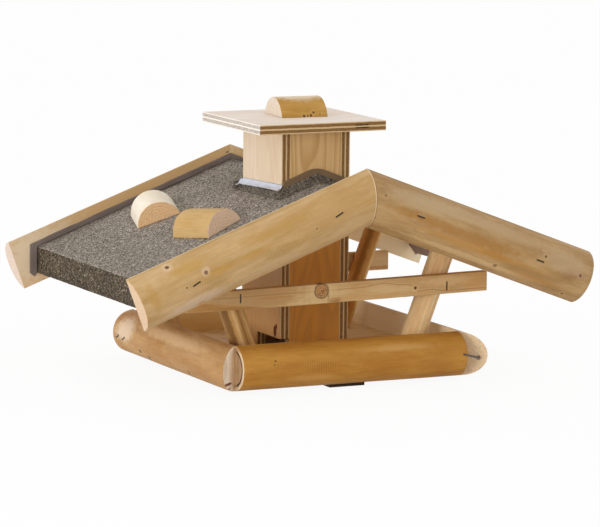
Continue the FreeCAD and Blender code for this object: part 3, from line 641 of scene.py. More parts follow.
def weather(bm, seed, swell, flutes, flat=None, facets=5):
    """Takes off a pole's uneven growth and the shallow facets of the peeling knife."""
    for vert in bm.verts:
        x, y, z = vert.co
        reach = math.hypot(y, z)
        if reach < 1e-6:
            continue
        around = Vector((0, y, z)) / reach
        slow = noise.noise(Vector((x * 9, around.y * 1.2, around.z * 1.2 + seed)))
        facet = noise.noise(Vector((x * 4, around.y * facets, around.z * facets + seed * 3)))
        push = (slow - 1) * swell / 2 + (facet - 1) * flutes / 2
        if flat is not None:
            # Towards the plane where the log is split, less and less is taken off.
            push *= clamp((y - flat) / (6 * MM))
        vert.co += around * push


class Log:
    """A split log's section: the width of its flat face, and how far it bulges out from it."""

    def __init__(self, chord, bulge):
        self.chord = chord * MM
        self.bulge = bulge * MM
        self.radius = (self.chord ** 2 / 4 + self.bulge ** 2) / (2 * self.bulge)


TRAY_LOG, KNOB_LOG, BLOCK_LOG = Log(55, 28), Log(62.5, 23.5), Log(56.5, 24.5)
BARGE_LOGS = {"front": Log(66.3, 28), "back": Log(63.5, 28)}
BARGE_PITCH = {"front": PITCH, "back": math.radians(20.2)}
# The right verge logs were sawn off a little shorter than the left ones.
BARGE_TRIMS = {("front", "right"): 5.6 * MM, ("back", "right"): 9 * MM}
# How far past the ridge a verge log reaches before its mitre is sawn.
BARGE_SPARE = 30 * MM
# What was sawn off the rails' right ends.
RAIL_TRIMS = {"front": 3 * MM, "back": 4 * MM}


def meets(spot, corner):
    """True for a point on the upright line where two tray logs meet."""
    return abs(abs(spot.x) - corner) < 0.3 * MM and abs(spot.y + corner) < 0.3 * MM


def split_log(node, log, wood, start, end, materials, seed, saws=(), swell=0.6 * MM, flutes=0.25 * MM,
              corner=None):
    """A half-round log with its flat face on the plane of its wood frame, sawn off by the given planes."""
    centre = log.bulge - log.radius
    bm = pole(start, end, log.radius)
    weather(bm, seed, swell, flutes, flat=-centre)
    bmesh.ops.translate(bm, verts=bm.verts, vec=(0, centre, 0))
    slice_off(bm, (0, 0, 0), (0, -1, 0))
    bmesh.ops.transform(bm, matrix=wood, verts=bm.verts)
    for point, normal in saws:
        slice_off(bm, point, normal)
    sharp = sharp_edges(bm)
    if corner:
        # The upright edge where two logs meet stays sharp, so that the joint is closed.
        sharp = [edge for edge in sharp if not all(meets(vert.co, corner) for vert in edge.verts)]
    ease(bm, 0.8 * MM, edges=sharp)
    keep_piece(bm, node, wood, materials, across_grain)


def crowns(node):
    """Each wire staple of a node: its middle, the way it lies, the way its legs go, and its length."""
    bm = copy_of(node)
    rest = set(bm.verts)
    found = []
    for first in bm.verts:
        if first not in rest:
            continue
        rest.remove(first)
        group = [first]
        for vert in group:
            for edge in vert.link_edges:
                other = edge.other_vert(vert)
                if other in rest:
                    rest.remove(other)
                    group.append(other)
        edges = {edge for vert in group for edge in vert.link_edges}
        length = max(edge.calc_length() for edge in edges)
        top = [edge for edge in edges if edge.calc_length() > 0.99 * length]
        ends = {vert for edge in top for vert in edge.verts}
        middle = sum((vert.co for vert in ends), Vector()) / len(ends)
        centre = sum((vert.co for vert in group), Vector()) / len(group)
        along = (top[0].verts[1].co - top[0].verts[0].co).normalized()
        if along.x + along.y * 0.1 - along.z * 0.01 < 0:
            along.negate()
        legs = centre - middle
        legs = (legs - along * legs.dot(along)).normalized()
        found.append((middle, along, legs, length))
    bm.free()
    return found


def slots_on(wood, node, reach):
    """The slots in a piece's own grain under the staples that were driven into it, painted dark as their
    shade.
    """
    inward = wood.inverted()
    turn = inward.to_3x3()
    slots = []
    for middle, along, legs, length in crowns(node):
        spot, heading, driven = inward @ middle, turn @ along, turn @ legs
        if abs(spot.z) < reach * MM and -2 * MM < spot.y < 40 * MM and driven.y < -0.9:
            tilt = -math.degrees(math.atan2(heading.z, heading.x))
            slots.append((spot.x / MM, spot.z / MM, tilt, length / MM - 1))
    return slots


END_TONES = ((238, 216, 184), (178, 142, 108))
SPECKLED_END = ((214, 184, 146), (140, 104, 70))
SOFT_END = ((222, 194, 162), (186, 148, 112))
PALE_END = ((228, 208, 192), (188, 160, 138))
# For pieces that sit in shade, under the roof or the lid and at the back: the wood's pale tones, made paler
# still as painted light.
HIDDEN_PAINTED_LIGHT = ((244, 216, 166), (234, 198, 144), (196, 150, 94))
# For the flat faces that look into the tray or under the roof: the sawn wood's pale tone, made near-white as
# painted light.
INNER_PAINTED_LIGHT = (255, 236, 200)

# The peeled round and the sawn ends of each tray log.
TRAY_LOOKS = {
    "front": (
        dict(tones=((200, 146, 64), (180, 122, 44), (142, 90, 26)), seed=3.1, chatter=0.24, flat=INNER_PAINTED_LIGHT,
             knots=[(-108, -22, 1.3, 0.8), (-110, -12, 1.0, 0.7), (-150, 7, 1.2, 0.6), (-140, 5, 0.9, 0.5)],
             stains_and_painted_light=[(-60, 14, 90, 16, (208, 158, 88), 0.5), (60, -16, 160, 12, (206, 162, 100), 0.5),
                     (110, 6, 70, 18, (176, 120, 52), 0.5)]),
        dict(tones=SPECKLED_END, seed=2.2, lines=0.1, shake=(TRAY_LOG, 5.0, -21, 26),
             # This patch paints the end paler at the inner corner, where it meets the left log: painted
             # light against the shade of that corner.
             stains_and_painted_light=[(0, 0, 20, 70, (250, 220, 182), 0.75)]),
    ),
    "back": (
        # The flat face is painted pale and orange as light in the tray, and the patch paints the left end
        # darker: painted shadow of the left log and the roof.
        dict(tones=HIDDEN_PAINTED_LIGHT, seed=9.4, flat=(255, 224, 160), chatter=0.1,
             stains_and_painted_light=[(-136, 0, 30, 60, (214, 128, 60), 0.6)]),
        dict(tones=END_TONES, seed=5.1),
    ),
    "left": (
        dict(tones=((208, 168, 116), (188, 142, 88), (150, 102, 54)), seed=7.3, resin=0.3, chatter=0.12,
             flat=INNER_PAINTED_LIGHT,
             knots=[(78, -27, 2.9, 1.0), (57, -40, 3.2, 1.0), (-63, -38, 2.8, 1.0), (12, 17, 1.5, 0.5)],
             stains_and_painted_light=[(12, 8, 30, 14, (176, 122, 54), 0.6), (0, 12, 20, 10, (172, 120, 54), 0.5),
                     # The first of these paints the back end paler, where light reaches past the roof, and
                     # the second paints the top paler: painted light and sheen.
                     (124, 8, 64, 40, (240, 218, 190), 0.75), (-20, 17, 250, 16, (226, 192, 148), 0.6)]),
        # The end looks away from the lamp and is painted near-white, and the first patch paints it paler
        # still at the inner corner: painted light.
        dict(tones=((255, 238, 214), (214, 180, 150)), seed=4.4, lines=0.1,
             stains_and_painted_light=[(0, 0, 22, 70, (252, 224, 190), 0.75), (24, 4, 16, 40, (206, 176, 146), 0.5),
                     (17, -16, 26, 5, (116, 60, 28), 0.95), (13, -22, 10, 3, (128, 84, 50), 0.7)]),
    ),
    "right": (
        dict(tones=((226, 192, 144), (210, 168, 114), (168, 120, 66)), seed=1.9, chatter=0.1,
             flat=INNER_PAINTED_LIGHT),
        dict(tones=((242, 214, 176), (158, 122, 84)), seed=6.3, lines=0.06, splits=[(60, 0.5, 18)]),
    ),
}


def make_tray_logs():
    """Four split logs round the floor; the side ones are cut back at 45 degrees at the front."""
    low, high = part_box("tray_log_front")
    half, level = high.x, (low.z + high.z) / 2
    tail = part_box("tray_log_left")[1].y
    logs = [(end, wood_frame((0, y * half, level), X, Y * y), -half, half, 1.7 + y, ()) for end, y in ENDS]
    for side, x in SIDES:
        saw = (Vector((x * half, -half, 0)), Vector((-x, -1, 0)))
        wood = wood_frame((x * half, 0, level), Y, X * x)
        logs.append((side, wood, -half - TRAY_LOG.bulge, tail, 5.2 + x, [saw]))
    for name, wood, start, end, seed, saws in logs:
        peeled, sawn = TRAY_LOOKS[name]
        slots = slots_on(wood, "tray_staples", 40) if name == "left" else ()
        materials = [timber(f"{name}_log_peeled", slots=slots, **peeled),
                     end_grain(f"{name}_log_end", **sawn)]
        split_log(f"tray_log_{name}", TRAY_LOG, wood, start, end, materials, seed, saws, corner=half)


def slope_axes(x, pitch=PITCH):
    """Directions down a slope and square out of it, for the left (-1) or right (1) side."""
    down = Vector((x * math.cos(pitch), 0, -math.sin(pitch)))
    out = Vector((x * math.sin(pitch), 0, math.cos(pitch)))
    return down, out


VERGE_LOOKS = {
    ("front", "left"): dict(
        tones=((207, 173, 126), (182, 145, 88), (158, 116, 63)), seed=12.6, chatter=0.13, streaks=0.45,
        flat=INNER_PAINTED_LIGHT, mitre=(1.2, (238, 210, 166), 0.7),
        knots=[(271, 69, 2.7, 0.95), (233, 17, 2.6, 0.8), (262, 3, 1.3, 0.8), (84, 0, 1.4, 0.6)],
        stains_and_painted_light=[
            (250, 20, 60, 16, (184, 142, 66), 0.6), (304, 4, 18, 44, (182, 138, 66), 0.55),
            (214, 4, 46, 12, (188, 140, 62), 0.55), (250, -22, 110, 18, (208, 182, 156), 0.6),
            (150, -20, 120, 16, (200, 169, 128), 0.5), (233, 10, 16, 12, (216, 186, 162), 0.6),
            (262, -6, 60, 10, (196, 158, 110), 0.6), (160, 18, 60, 16, (176, 130, 62), 0.5),
            (120, 18, 110, 12, (180, 140, 72), 0.5), (246, -27, 12, 6, (176, 130, 92), 0.6),
            (170, 4, 50, 12, (186, 140, 66), 0.5), (271, 29, 14, 9, (216, 186, 156), 0.7),
            (60, -6, 70, 22, (182, 146, 96), 0.5), (30, 14, 60, 14, (176, 138, 84), 0.4),
            (56, 8, 150, 50, (182, 140, 82), 0.5),
        ],
    ),
    ("front", "right"): dict(
        tones=((191, 156, 107), (165, 128, 79), (135, 93, 48)), seed=4.7, chatter=0.16, streaks=0.4,
        flat=INNER_PAINTED_LIGHT, mitre=(0.8, (120, 84, 50), 0.7),
        knots=[(244, -15, 1.7, 0.9), (186, 53, 2.6, 0.6), (298, 0, 2.2, 0.8), (290, 64, 1.8, 0.9),
               (8, 42, 1.4, 0.5), (10, -20, 1.6, 0.5)],
        stains_and_painted_light=[
            (284, 4, 30, 22, (146, 104, 62), 0.6), (298, 0, 18, 14, (160, 114, 92), 0.7),
            (60, -18, 150, 26, (188, 160, 122), 0.6), (190, -18, 150, 20, (186, 152, 110), 0.6),
            (150, 12, 260, 14, (184, 132, 62), 0.65), (140, 25, 240, 7, (212, 178, 130), 0.6),
            (40, 2, 70, 12, (168, 122, 58), 0.4), (240, 22, 90, 12, (178, 128, 66), 0.5),
            (130, 2, 250, 20, (162, 113, 50), 0.75), (180, 12, 60, 14, (170, 118, 52), 0.5),
            (276, -8, 90, 34, (192, 164, 130), 0.5), (120, -20, 260, 18, (188, 160, 122), 0.5),
        ],
    ),
    ("back", "left"): dict(
        tones=((204, 168, 118), (186, 146, 94), (150, 106, 58)), seed=8.8, flat=(210, 172, 122),
        stains_and_painted_light=[(280, 0, 170, 110, (226, 204, 172), 0.85), (60, -14, 90, 8, (186, 134, 80), 0.6),
                (150, -8, 110, 7, (188, 140, 88), 0.5), (-4.3, -23.8, 6, 2.4, (58, 36, 26), 0.95)],
    ),
    ("back", "right"): dict(
        # The flat face is painted near-white as light under the roof; near the ridge, where it stands above
        # the roof, the patch gives back a darker tone.
        tones=((230, 198, 148), (214, 176, 122), (176, 132, 80)), seed=15.2, flat=INNER_PAINTED_LIGHT,
        stains_and_painted_light=[(10, 10, 150, 90, (206, 168, 116), 0.9)],
    ),
}

BARGE_ENDS = {"front": SOFT_END, "back": PALE_END}


def make_barges():
    """Four split logs along the verges, mitred upright at the ridge."""
    for end, y in ENDS:
        log, pitch = BARGE_LOGS[end], BARGE_PITCH[end]
        for side, x in SIDES:
            node = f"barge_log_{end}_{side}"
            low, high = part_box(node)
            face = low.y if y > 0 else high.y
            middle = high.z - log.chord / 2 / math.cos(pitch)
            reach = max(abs(low.x), abs(high.x))
            length = (reach - log.chord / 2 * math.sin(pitch)) / math.cos(pitch)
            length -= BARGE_TRIMS.get((end, side), 0.0)
            wood = wood_frame((0, face, middle), slope_axes(x, pitch)[0], Y * y)
            slots = slots_on(wood, "barge_staples", 40)
            materials = [timber(f"{end}_{side}_verge_peeled", slots=slots, **VERGE_LOOKS[end, side]),
                         end_grain(f"{node}_end", BARGE_ENDS[end], seed=x + 2 * y, lines=0.2)]
            ridge = (Vector((0, 0, 0)), Vector((-x, 0, 0)))
            split_log(node, log, wood, -BARGE_SPARE, length, materials, 2.3 + x + 2 * y, [ridge],
                      swell=0.2 * MM, flutes=0.15 * MM)


# End, side, where the axis meets the floor, diameter, tones, and lengthwise bands, partly the peeling's and
# partly painted light and shade.
POSTS = (
    # The pale and dark bands follow the peeling's facets and paint the light and shade on them.
    ("front", "left", -110, -105, 31.5, ((220, 178, 118), (192, 146, 84), (126, 80, 34)), [
        (50, -12, 300, 8, (112, 70, 28), 0.8), (50, -4, 300, 5, (224, 186, 130), 0.7),
        (50, 2, 300, 5, (140, 94, 42), 0.7), (50, 9, 300, 6, (222, 180, 120), 0.6),
    ]),
    # Paler tones than the other posts: painted light where this post stands under the verge log.
    ("front", "right", 104, -105, 31.5, ((255, 236, 188), (250, 212, 156), (196, 140, 80)), [
        (80, -6, 300, 6, (226, 184, 130), 0.5), (80, 8, 300, 7, (214, 168, 110), 0.5),
    ]),
    ("back", "left", -114, 105, 25, HIDDEN_PAINTED_LIGHT, ()),
    # A brown side and a pale side: partly the wood's own, partly painted light from the right.
    ("back", "right", 114, 105, 25, ((240, 190, 112), (216, 150, 74), (150, 84, 26)), [
        (80, -7, 400, 11, (150, 96, 34), 0.7), (80, 7, 400, 9, (250, 214, 150), 0.8),
    ]),
)


def underside(side):
    """The way out of a roof board, and how far out the board's underside lies."""
    out = slope_axes(dict(SIDES)[side])[1]
    board = frame["nodes"][f"roof_board_{side}"].data
    return out, min(out.dot(vert.co) for vert in board.vertices)


def make_posts():
    """Round posts that lean out with the slopes, sawn level at the floor."""
    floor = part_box("floor_board")[1].z
    for end, side, x, y, width, tones, bands in POSTS:
        node = f"post_{end}_{side}"
        lean = math.copysign(PITCH, x)
        axis = Vector((math.sin(lean), 0, math.cos(lean)))
        foot = Vector((x * MM, y * MM, floor))
        out, level = underside(side)
        length = (level - out.dot(foot)) / out.dot(axis)
        radius = width / 2 * MM
        bm = pole(-radius, length, radius, around=72)
        weather(bm, x * 0.1 + y, 0.3 * MM, 1.6 * MM, facets=3)
        wood = wood_frame(foot, axis, -Y)
        bmesh.ops.transform(bm, matrix=wood, verts=bm.verts)
        slice_off(bm, (0, 0, floor), (0, 0, -1))
        ease(bm, 0.6 * MM)
        materials = [timber(f"{node}_peeled", tones, seed=x * 0.13, ring=2.6 * MM, lines=0.2, streaks=0.5,
                            stains_and_painted_light=bands), end_grain(f"{node}_end", END_TONES)]
        keep_piece(bm, node, wood, materials, across_grain)


def sawn_timber(name, tones, ends, pith, **looks):
    """The materials of a sawn piece: its faces, and its ends with the same pith."""
    return [timber(f"{name}_sawn", tones, pith=pith, **looks), end_grain(f"{name}_end", ends, pith=pith)]


FRONT_RAIL = dict(
    tones=((222, 190, 138), (204, 166, 110), (172, 122, 64)), ends=SOFT_END, pith=-40 * MM, seed=21.4,
    ring=5 * MM, lines=0.12,
    knots=[(-27, -4.6, 9.4, 0.95), (100, 2.2, 2.3, 0.95)],
    stains_and_painted_light=[
        # The first patch paints the rail's left end darker: painted shadow of the verge log above it.
        (-112, 0, 150, 40, (178, 136, 88), 0.6), (-88, 0, 66, 4, (190, 128, 62), 0.45),
        (-10, 9, 24, 7, (150, 96, 46), 0.9), (-18, 2, 4, 18, (120, 76, 36), 0.8),
        (184, 0, 50, 40, (226, 172, 108), 0.5), (100, 2.2, 11, 9, (226, 176, 112), 0.8),
        # The first patch here paints the rail paler towards its right end: painted light.
        (140, -4, 90, 16, (240, 206, 154), 0.65), (60, 8, 200, 7, (204, 156, 96), 0.6),
    ],
    seam=([(25, -4), (54, -7), (84, -3.5), (95, -1.6), (104, 6.2), (122, 5.2), (142, 8.2)], 0.3),
)
FRONT_RAIL_TILT = math.radians(0.97)
WANE_TONES = ((206, 162, 104), (190, 142, 82), (150, 98, 44))
BACK_RAIL = dict(
    tones=((250, 226, 180), (240, 208, 156), (206, 154, 92)), ends=SOFT_END, pith=-30 * MM, seed=2.6,
    ring=4 * MM, stains_and_painted_light=[(0, -9, 800, 8, (204, 140, 74), 0.7)],
)


def make_rails():
    """Sawn rails across the outer sides of the posts."""
    low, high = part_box("rail_front")
    along = Vector((math.cos(FRONT_RAIL_TILT), 0, math.sin(FRONT_RAIL_TILT)))
    wood = wood_frame((low + high) / 2, along, -Y)
    bm = copy_of("rail_front")
    # Wane: the tree's round left the lower front arris short, from the left end until it runs out.
    rise, run, depth, start = 10.8 * MM, 98 * MM, 7 * MM, -178 * MM
    from_end = 24 * MM
    bottom = low.z + math.tan(FRONT_RAIL_TILT) * from_end
    wane = Vector((-run, 0, rise)).cross(Vector((0, depth, -rise))).normalized()
    slice_off(bm, (start, low.y, bottom + rise), wane)
    slice_off(bm, high - X * RAIL_TRIMS["front"], X)
    ease(bm, 0.7 * MM)
    materials = sawn_timber("front_rail", slots=slots_on(wood, "rail_staples", 20), **FRONT_RAIL)
    materials.append(timber("front_rail_wane", WANE_TONES, pith=FRONT_RAIL["pith"], seed=5.4, ring=5 * MM))
    keep_piece(bm, "rail_front", wood, materials, waned_rail)

    low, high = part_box("rail_back")
    wood = wood_frame((low + high) / 2, X, Y)
    bm = copy_of("rail_back")
    slice_off(bm, high - X * RAIL_TRIMS["back"], X)
    ease(bm, 0.7 * MM)
    materials = sawn_timber("back_rail", slots=slots_on(wood, "rail_staples", 20), **BACK_RAIL)
    keep_piece(bm, "rail_back", wood, materials, across_grain)


PLY_EDGE = ((218, 186, 138), (144, 106, 62))
# Paler, greyer plies for the edges that look to the left.
PLY_PALE_LEFT = ((248, 238, 226), (206, 196, 186))
ROOF_PLY = ((232, 206, 168), (222, 190, 146), (196, 154, 102))
# The floor's pale wood, made paler still so that it throws more light into the tray: painted light.
FLOOR_PLY = ((250, 228, 190), (240, 208, 162), (206, 166, 116))
LID_PLY = ((241, 230, 221), (234, 217, 201), (212, 188, 162))
SILO_SIDE_PLY = ((232, 214, 190), (224, 200, 170), (204, 172, 134))
SILO_END_PLY = ((230, 194, 140), (206, 162, 100), (176, 124, 62))
# Marks on the silo's side boards are placed from this far under their top edges.
SILO_SIDE_DATUM = 27 * MM
# From where to where a board is painted darker under the roof, its tone there, and how much: painted shade.
SILO_SIDE_WASH = (-190, -80, (200, 144, 68), 0.85)
SILO_END_WASH = (120, 200, (208, 133, 26), 0.8)


def plywood(node, origin, along, out, tones, seed, voids=(), pale_left_edges=False, contrast=0.4, **face_looks):
    """A plywood board, eased at its edges, with face veneer and plies on its edges."""
    materials = [
        veneer(f"{node}_veneer", tones, seed=seed, contrast=contrast, **face_looks),
        ply_edge(f"{node}_plies", PLY_EDGE, seed=seed, voids=voids),
    ]
    if pale_left_edges:
        materials.append(ply_edge(f"{node}_side_plies", PLY_PALE_LEFT, seed=seed + 1))
    cut_end = through_side_plies if pale_left_edges else through_plies
    dress(node, wood_frame(origin, along, out), materials, cut_end, 0.35 * MM)


def make_plywood():
    """Floor, silo, lid and roof boards."""
    plywood("floor_board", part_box("floor_board")[0], X, Z, FLOOR_PLY, 31.0)
    for side, x in SIDES:
        low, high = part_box(f"silo_board_{side}")
        knots = [(-220, -41, 5.0), (-214, -45, 2.5)] if x < 0 else []
        origin = Vector((low.x, 0, high.z - SILO_SIDE_DATUM))
        plywood(f"silo_board_{side}", origin, Z, X, SILO_SIDE_PLY, 41.0 + x, knots=knots, contrast=0.25,
                wash=SILO_SIDE_WASH)
    for end, y in ENDS:
        node = f"silo_board_{end}"
        plywood(node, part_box(node)[0], Z, Y, SILO_END_PLY, 52.0 + y, wash=SILO_END_WASH, contrast=0.45)
    origin = Vector((0, 0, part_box("lid_board")[0].z))
    plywood("lid_board", origin, X, Z, LID_PLY, 61.0, voids=[(41, 59)], contrast=0.25, pale_left_edges=True)
    materials = sawn_timber("lid_block", HIDDEN_PAINTED_LIGHT, SOFT_END, -30 * MM, seed=3.3, ring=4 * MM)
    dress("lid_block", wood_frame(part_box("lid_block")[0], Y, Z), materials, across_grain)
    for side, x in SIDES:
        out, level = underside(side)
        plywood(f"roof_board_{side}", out * level, Y, out, ROOF_PLY, 71.0 + x)


def make_battens():
    """Battens behind the eaves, and the dark bearer that the table stands on."""
    wrapped = smooth_felt("felt_underside", (160, 138, 130), (70, 56, 50))
    for side, x in SIDES:
        node = f"eave_batten_{side}"
        low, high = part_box(node)
        bm = copy_of(node)
        divide(bm, Y, 8 * MM)
        for vert in bm.verts:
            if vert.co.z < low.z + 1 * MM:
                vert.co.z += torn_edge(x, vert.co.y)
        ease(bm, 0.6 * MM)
        materials = sawn_timber(node, HIDDEN_PAINTED_LIGHT, SOFT_END, -25 * MM, seed=14.0 + x, ring=3 * MM)
        materials.append(wrapped)
        wood = wood_frame((low + high) / 2, Y, X * x)
        keep_piece(bm, node, wood, materials, wrapped_batten)
    low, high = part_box("mounting_bearer")
    # A very dark brown: the bearer's own dark wood, and painted shade under the table.
    dark_and_shaded, dark_and_shaded_end = ((66, 44, 26), (54, 35, 19), (32, 21, 12)), ((76, 58, 42), (44, 33, 24))
    materials = sawn_timber("bearer", dark_and_shaded, dark_and_shaded_end, -30 * MM, seed=17.0, ring=3 * MM)
    wood = wood_frame((low + high) / 2, Y, -Z)
    dress("mounting_bearer", wood, materials, across_grain)


def torn_edge(x, y):
    """How much shorter the felt hangs on the right eave, except near its back end."""
    reach = clamp((y - 96 * MM) / (50 * MM))
    tail = clamp((y - 182 * MM) / (12 * MM))
    return ((1 - reach * reach * (3 - 2 * reach)) * 7.5 + tail * 8 + 1.2) * MM if x > 0 else 0.0


FELT_BEND = 3.4 * MM


def make_slope_felt(side, x, materials):
    """Mineral felt over one slope, bent down at the eave."""
    node = f"roof_felt_{side}"
    low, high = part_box(node)
    down, out = slope_axes(x)
    eave = max(abs(low.x), abs(high.x))
    bm = copy_of(node)
    top = max(out.dot(vert.co) for vert in bm.verts)
    bend = [
        edge for edge in bm.edges
        if all(abs(abs(v.co.x) - eave) < 1e-5 and abs(out.dot(v.co) - top) < 1e-5 for v in edge.verts)
    ]
    ease(bm, FELT_BEND, segments=5, edges=bend)
    divide(bm, Y, 8 * MM)
    divide(bm, down, 8 * MM)
    for vert in bm.verts:
        ripple = noise.noise(vert.co * 22 + Vector((x, 0, 0))) + noise.noise(vert.co * 60) * 0.5
        if abs(out.dot(vert.co) - top) < 0.1 * MM:
            vert.co += out * ripple * 0.35 * MM
        elif abs(abs(vert.co.x) - eave) < FELT_BEND + 0.2 * MM:
            vert.co.x += x * (ripple - 0.9) * 0.6 * MM
            if vert.co.z < low.z + 1 * MM:
                vert.co.z += (ripple + noise.noise(vert.co * 180) * 0.6 + 1.6) * 0.5 * MM
                vert.co.z += torn_edge(x, vert.co.y)
    wood = wood_frame((0, 0, 0), Y, out)
    keep_piece(bm, node, wood, materials, hanging_felt).data.shade_smooth()
    return wood, down, out, top


def make_felt():
    """Mineral felt, the smooth strips at its edges, and the collars against the silo."""
    grit = granules("felt_granules", (190, 178, 164), (76, 68, 60), (226, 216, 200), darker_felt=0.5)
    # A darker copy of the granules for the turned-down eave faces.
    darker_felt = granules("felt_eave_granules", (134, 117, 95), (20, 15, 10), (188, 174, 148))
    # A darker copy of the granules for the coves against the silo: painted shade in that corner.
    shaded_cove = granules("felt_cove_granules", (140, 129, 115), (62, 54, 46), (160, 150, 136))
    strip = smooth_felt("felt_strip_skin", (124, 110, 102), (90, 79, 72))
    skin = smooth_felt("felt_collar_skin", (126, 102, 75), (94, 74, 54))
    for side, x in SIDES:
        wood, down, out, top = make_slope_felt(side, x, [grit, darker_felt])
        for end, y in ENDS:
            node = f"felt_edge_{end}_{side}"
            bm = copy_of(node)
            divide(bm, down, 8 * MM)
            ease(bm, 0.6 * MM)
            for vert in bm.verts:
                vert.co.y -= y * abs(noise.noise(vert.co * 30)) * 0.6 * MM
                if out.dot(vert.co) > top + 1 * MM:
                    vert.co -= out * abs(noise.noise(vert.co * 45)) * 1.4 * MM
            keep_piece(bm, node, wood, [strip])
        make_cove(side, x, [shaded_cove])
    for end, y in ENDS:
        dress(f"felt_collar_{end}", wood_frame((0, 0, 0), X, Y * y), [skin])


# The section of the stones that are swept up against a wall: out from it and up it, in mm.
COVE = ((-0.5, -1.0), (-0.5, 10.4), (0.8, 10.0), (2.0, 7.4), (4.0, 5.0), (7.0, 2.8), (11.0, 1.1),
        (16.0, 0.2), (16.0, -1.0))


def sweep(bm, start, end, out, up, scale):
    """Adds a strip with the cove's section, from one point to another."""
    ring = [bm.verts.new(start + (out * reach * scale + up * level * scale) * MM) for reach, level in COVE]
    drawn = bmesh.ops.extrude_face_region(bm, geom=[bm.faces.new(ring)])
    bmesh.ops.translate(bm, verts=only(BMVert, drawn["geom"]), vec=end - start)


def make_cove(side, x, materials):
    """Loose stones and bitumen drawn up against the silo's side and the collars, on one slope."""
    down, out = slope_axes(x)
    wall = max(abs(corner.x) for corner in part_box(f"silo_board_{side}"))
    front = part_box("felt_collar_front")[0].y
    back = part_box("felt_collar_back")[1].y
    ridge = Vector((0, 0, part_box(f"roof_felt_{side}")[1].z - 0.3 * MM))
    foot = ridge + down * wall / math.cos(PITCH) + down * 1.5 * MM
    # The strips run on past the ridge and past each other at the silo's corners, so that they meet.
    lap, corner_lap = 6 * MM, 9 * MM
    bm = bmesh.new()
    sweep(bm, foot + Y * (front - lap), foot + Y * (back + lap), down, out, 0.6)
    divide(bm, Y, 4 * MM)
    for y, face in ((-1, front), (1, back)):
        part = bmesh.new()
        start = ridge - down * lap + Y * face
        end = ridge + down * (wall / math.cos(PITCH) + corner_lap) + Y * face
        sweep(part, start, end, Y * y, out, 0.9)
        divide(part, down, 4 * MM)
        slice_off(part, (0, 0, 0), (-x, 0, 0))
        mesh = mesh_of(part, "cove_part")
        bm.from_mesh(mesh)
        bpy.data.meshes.remove(mesh)
    for vert in bm.verts:
        rough = noise.noise(vert.co * 90) + noise.noise(vert.co * 300) * 0.3
        vert.co += out * rough * 0.25 * MM
    wood = wood_frame((0, 0, 0), Y, out)
    cove = keep_piece(bm, f"roof_felt_{side}", wood, materials, extra=f"felt_cove_{side}")
    cove.data.shade_smooth()


def make_flashing():
    """Crumpled silver sealing strip where the silo's sides come through the felt."""
    foil = metal("sealing_foil", (206, 210, 222), 0.45, metallic=0.3)
    fold, upper_level, lower_level, lower_reach = 3.4 * MM, 235.4 * MM, 228.6 * MM, 6.8 * MM
    loose = 6 * MM
    for side, x in SIDES:
        node = f"flashing_{side}"
        low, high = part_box(node)
        wall = min(abs(low.x), abs(high.x))
        bm = bmesh.new()
        bmesh.ops.create_grid(bm, x_segments=110, y_segments=9, size=0.5)
        for vert in bm.verts:
            # The foil is folded a little way round the silo's front corner.
            y = low.y - fold + (high.y - low.y + 4 * MM) * (vert.co.x + 0.5)
            drop = vert.co.y + 0.5
            ragged = 1 + noise.noise(Vector((x, y * 90, 0))) * 0.12 * drop
            upper = Vector((wall + 0.4 * MM, y, upper_level - y * 0.03))
            lower = Vector((wall + lower_reach, y, lower_level - y * 0.04))
            spot = upper.lerp(lower, drop * ragged)
            spot -= Vector((1, 0, 1)) * math.sin(math.pi * drop) * 0.9 * MM
            crumple = noise.noise(spot * 110) + noise.noise(spot * 260) * 0.6 + noise.noise(spot * 520) * 0.3
            spot += Vector((0.6, 0, 0.7)) * (crumple * 0.9 + 0.4) * MM * min(1, drop * 4 + 0.15)
            if y > high.y - loose:
                # Its back end stands off a little.
                spot += Vector((0.5, 0, -0.3)) * (y - high.y + loose)
            vert.co = Vector((x * spot.x, spot.y, spot.z))
        bmesh.ops.solidify(bm, geom=bm.faces[:], thickness=0.4 * MM)
        keep_piece(bm, node, wood_frame((0, 0, 0), Y, X * x), [foil])


KNOB_HALF, KNOB_TURN, KNOB_PLACE = 60.5 * MM / 2, math.radians(4.5), (6.4 * MM, 14.7 * MM)
KNOB = dict(
    tones=((204, 160, 86), (184, 138, 60), (142, 94, 34)), seed=33.0, chatter=0.1,
    knots=[(-1, 87, 1.9, 0.95), (4, 86, 1.4, 0.95), (8, 86, 1.8, 0.95), (12, 79, 1.6, 0.9),
           (20, 84, 0.9, 0.8), (-4, 8, 1.0, 0.5)],
    stains_and_painted_light=[(0, 0, 100, 34, (230, 212, 186), 0.85)],
)
BLOCK_HALF = 67.5 * MM / 2
# End, place down the slope and along the ridge, the axis's turn in degrees, tones, and tones of its ends.
BLOCKS = (
    ("front", 150.9, -47.8, 106.5, ((208, 176, 122), (194, 156, 96), (162, 118, 60)),
     ((238, 208, 178), (204, 162, 130))),
    ("back", 154.3, 101.9, 73.5, ((246, 240, 226), (238, 224, 200), (214, 190, 154)),
     ((232, 194, 148), (190, 142, 90))),
)


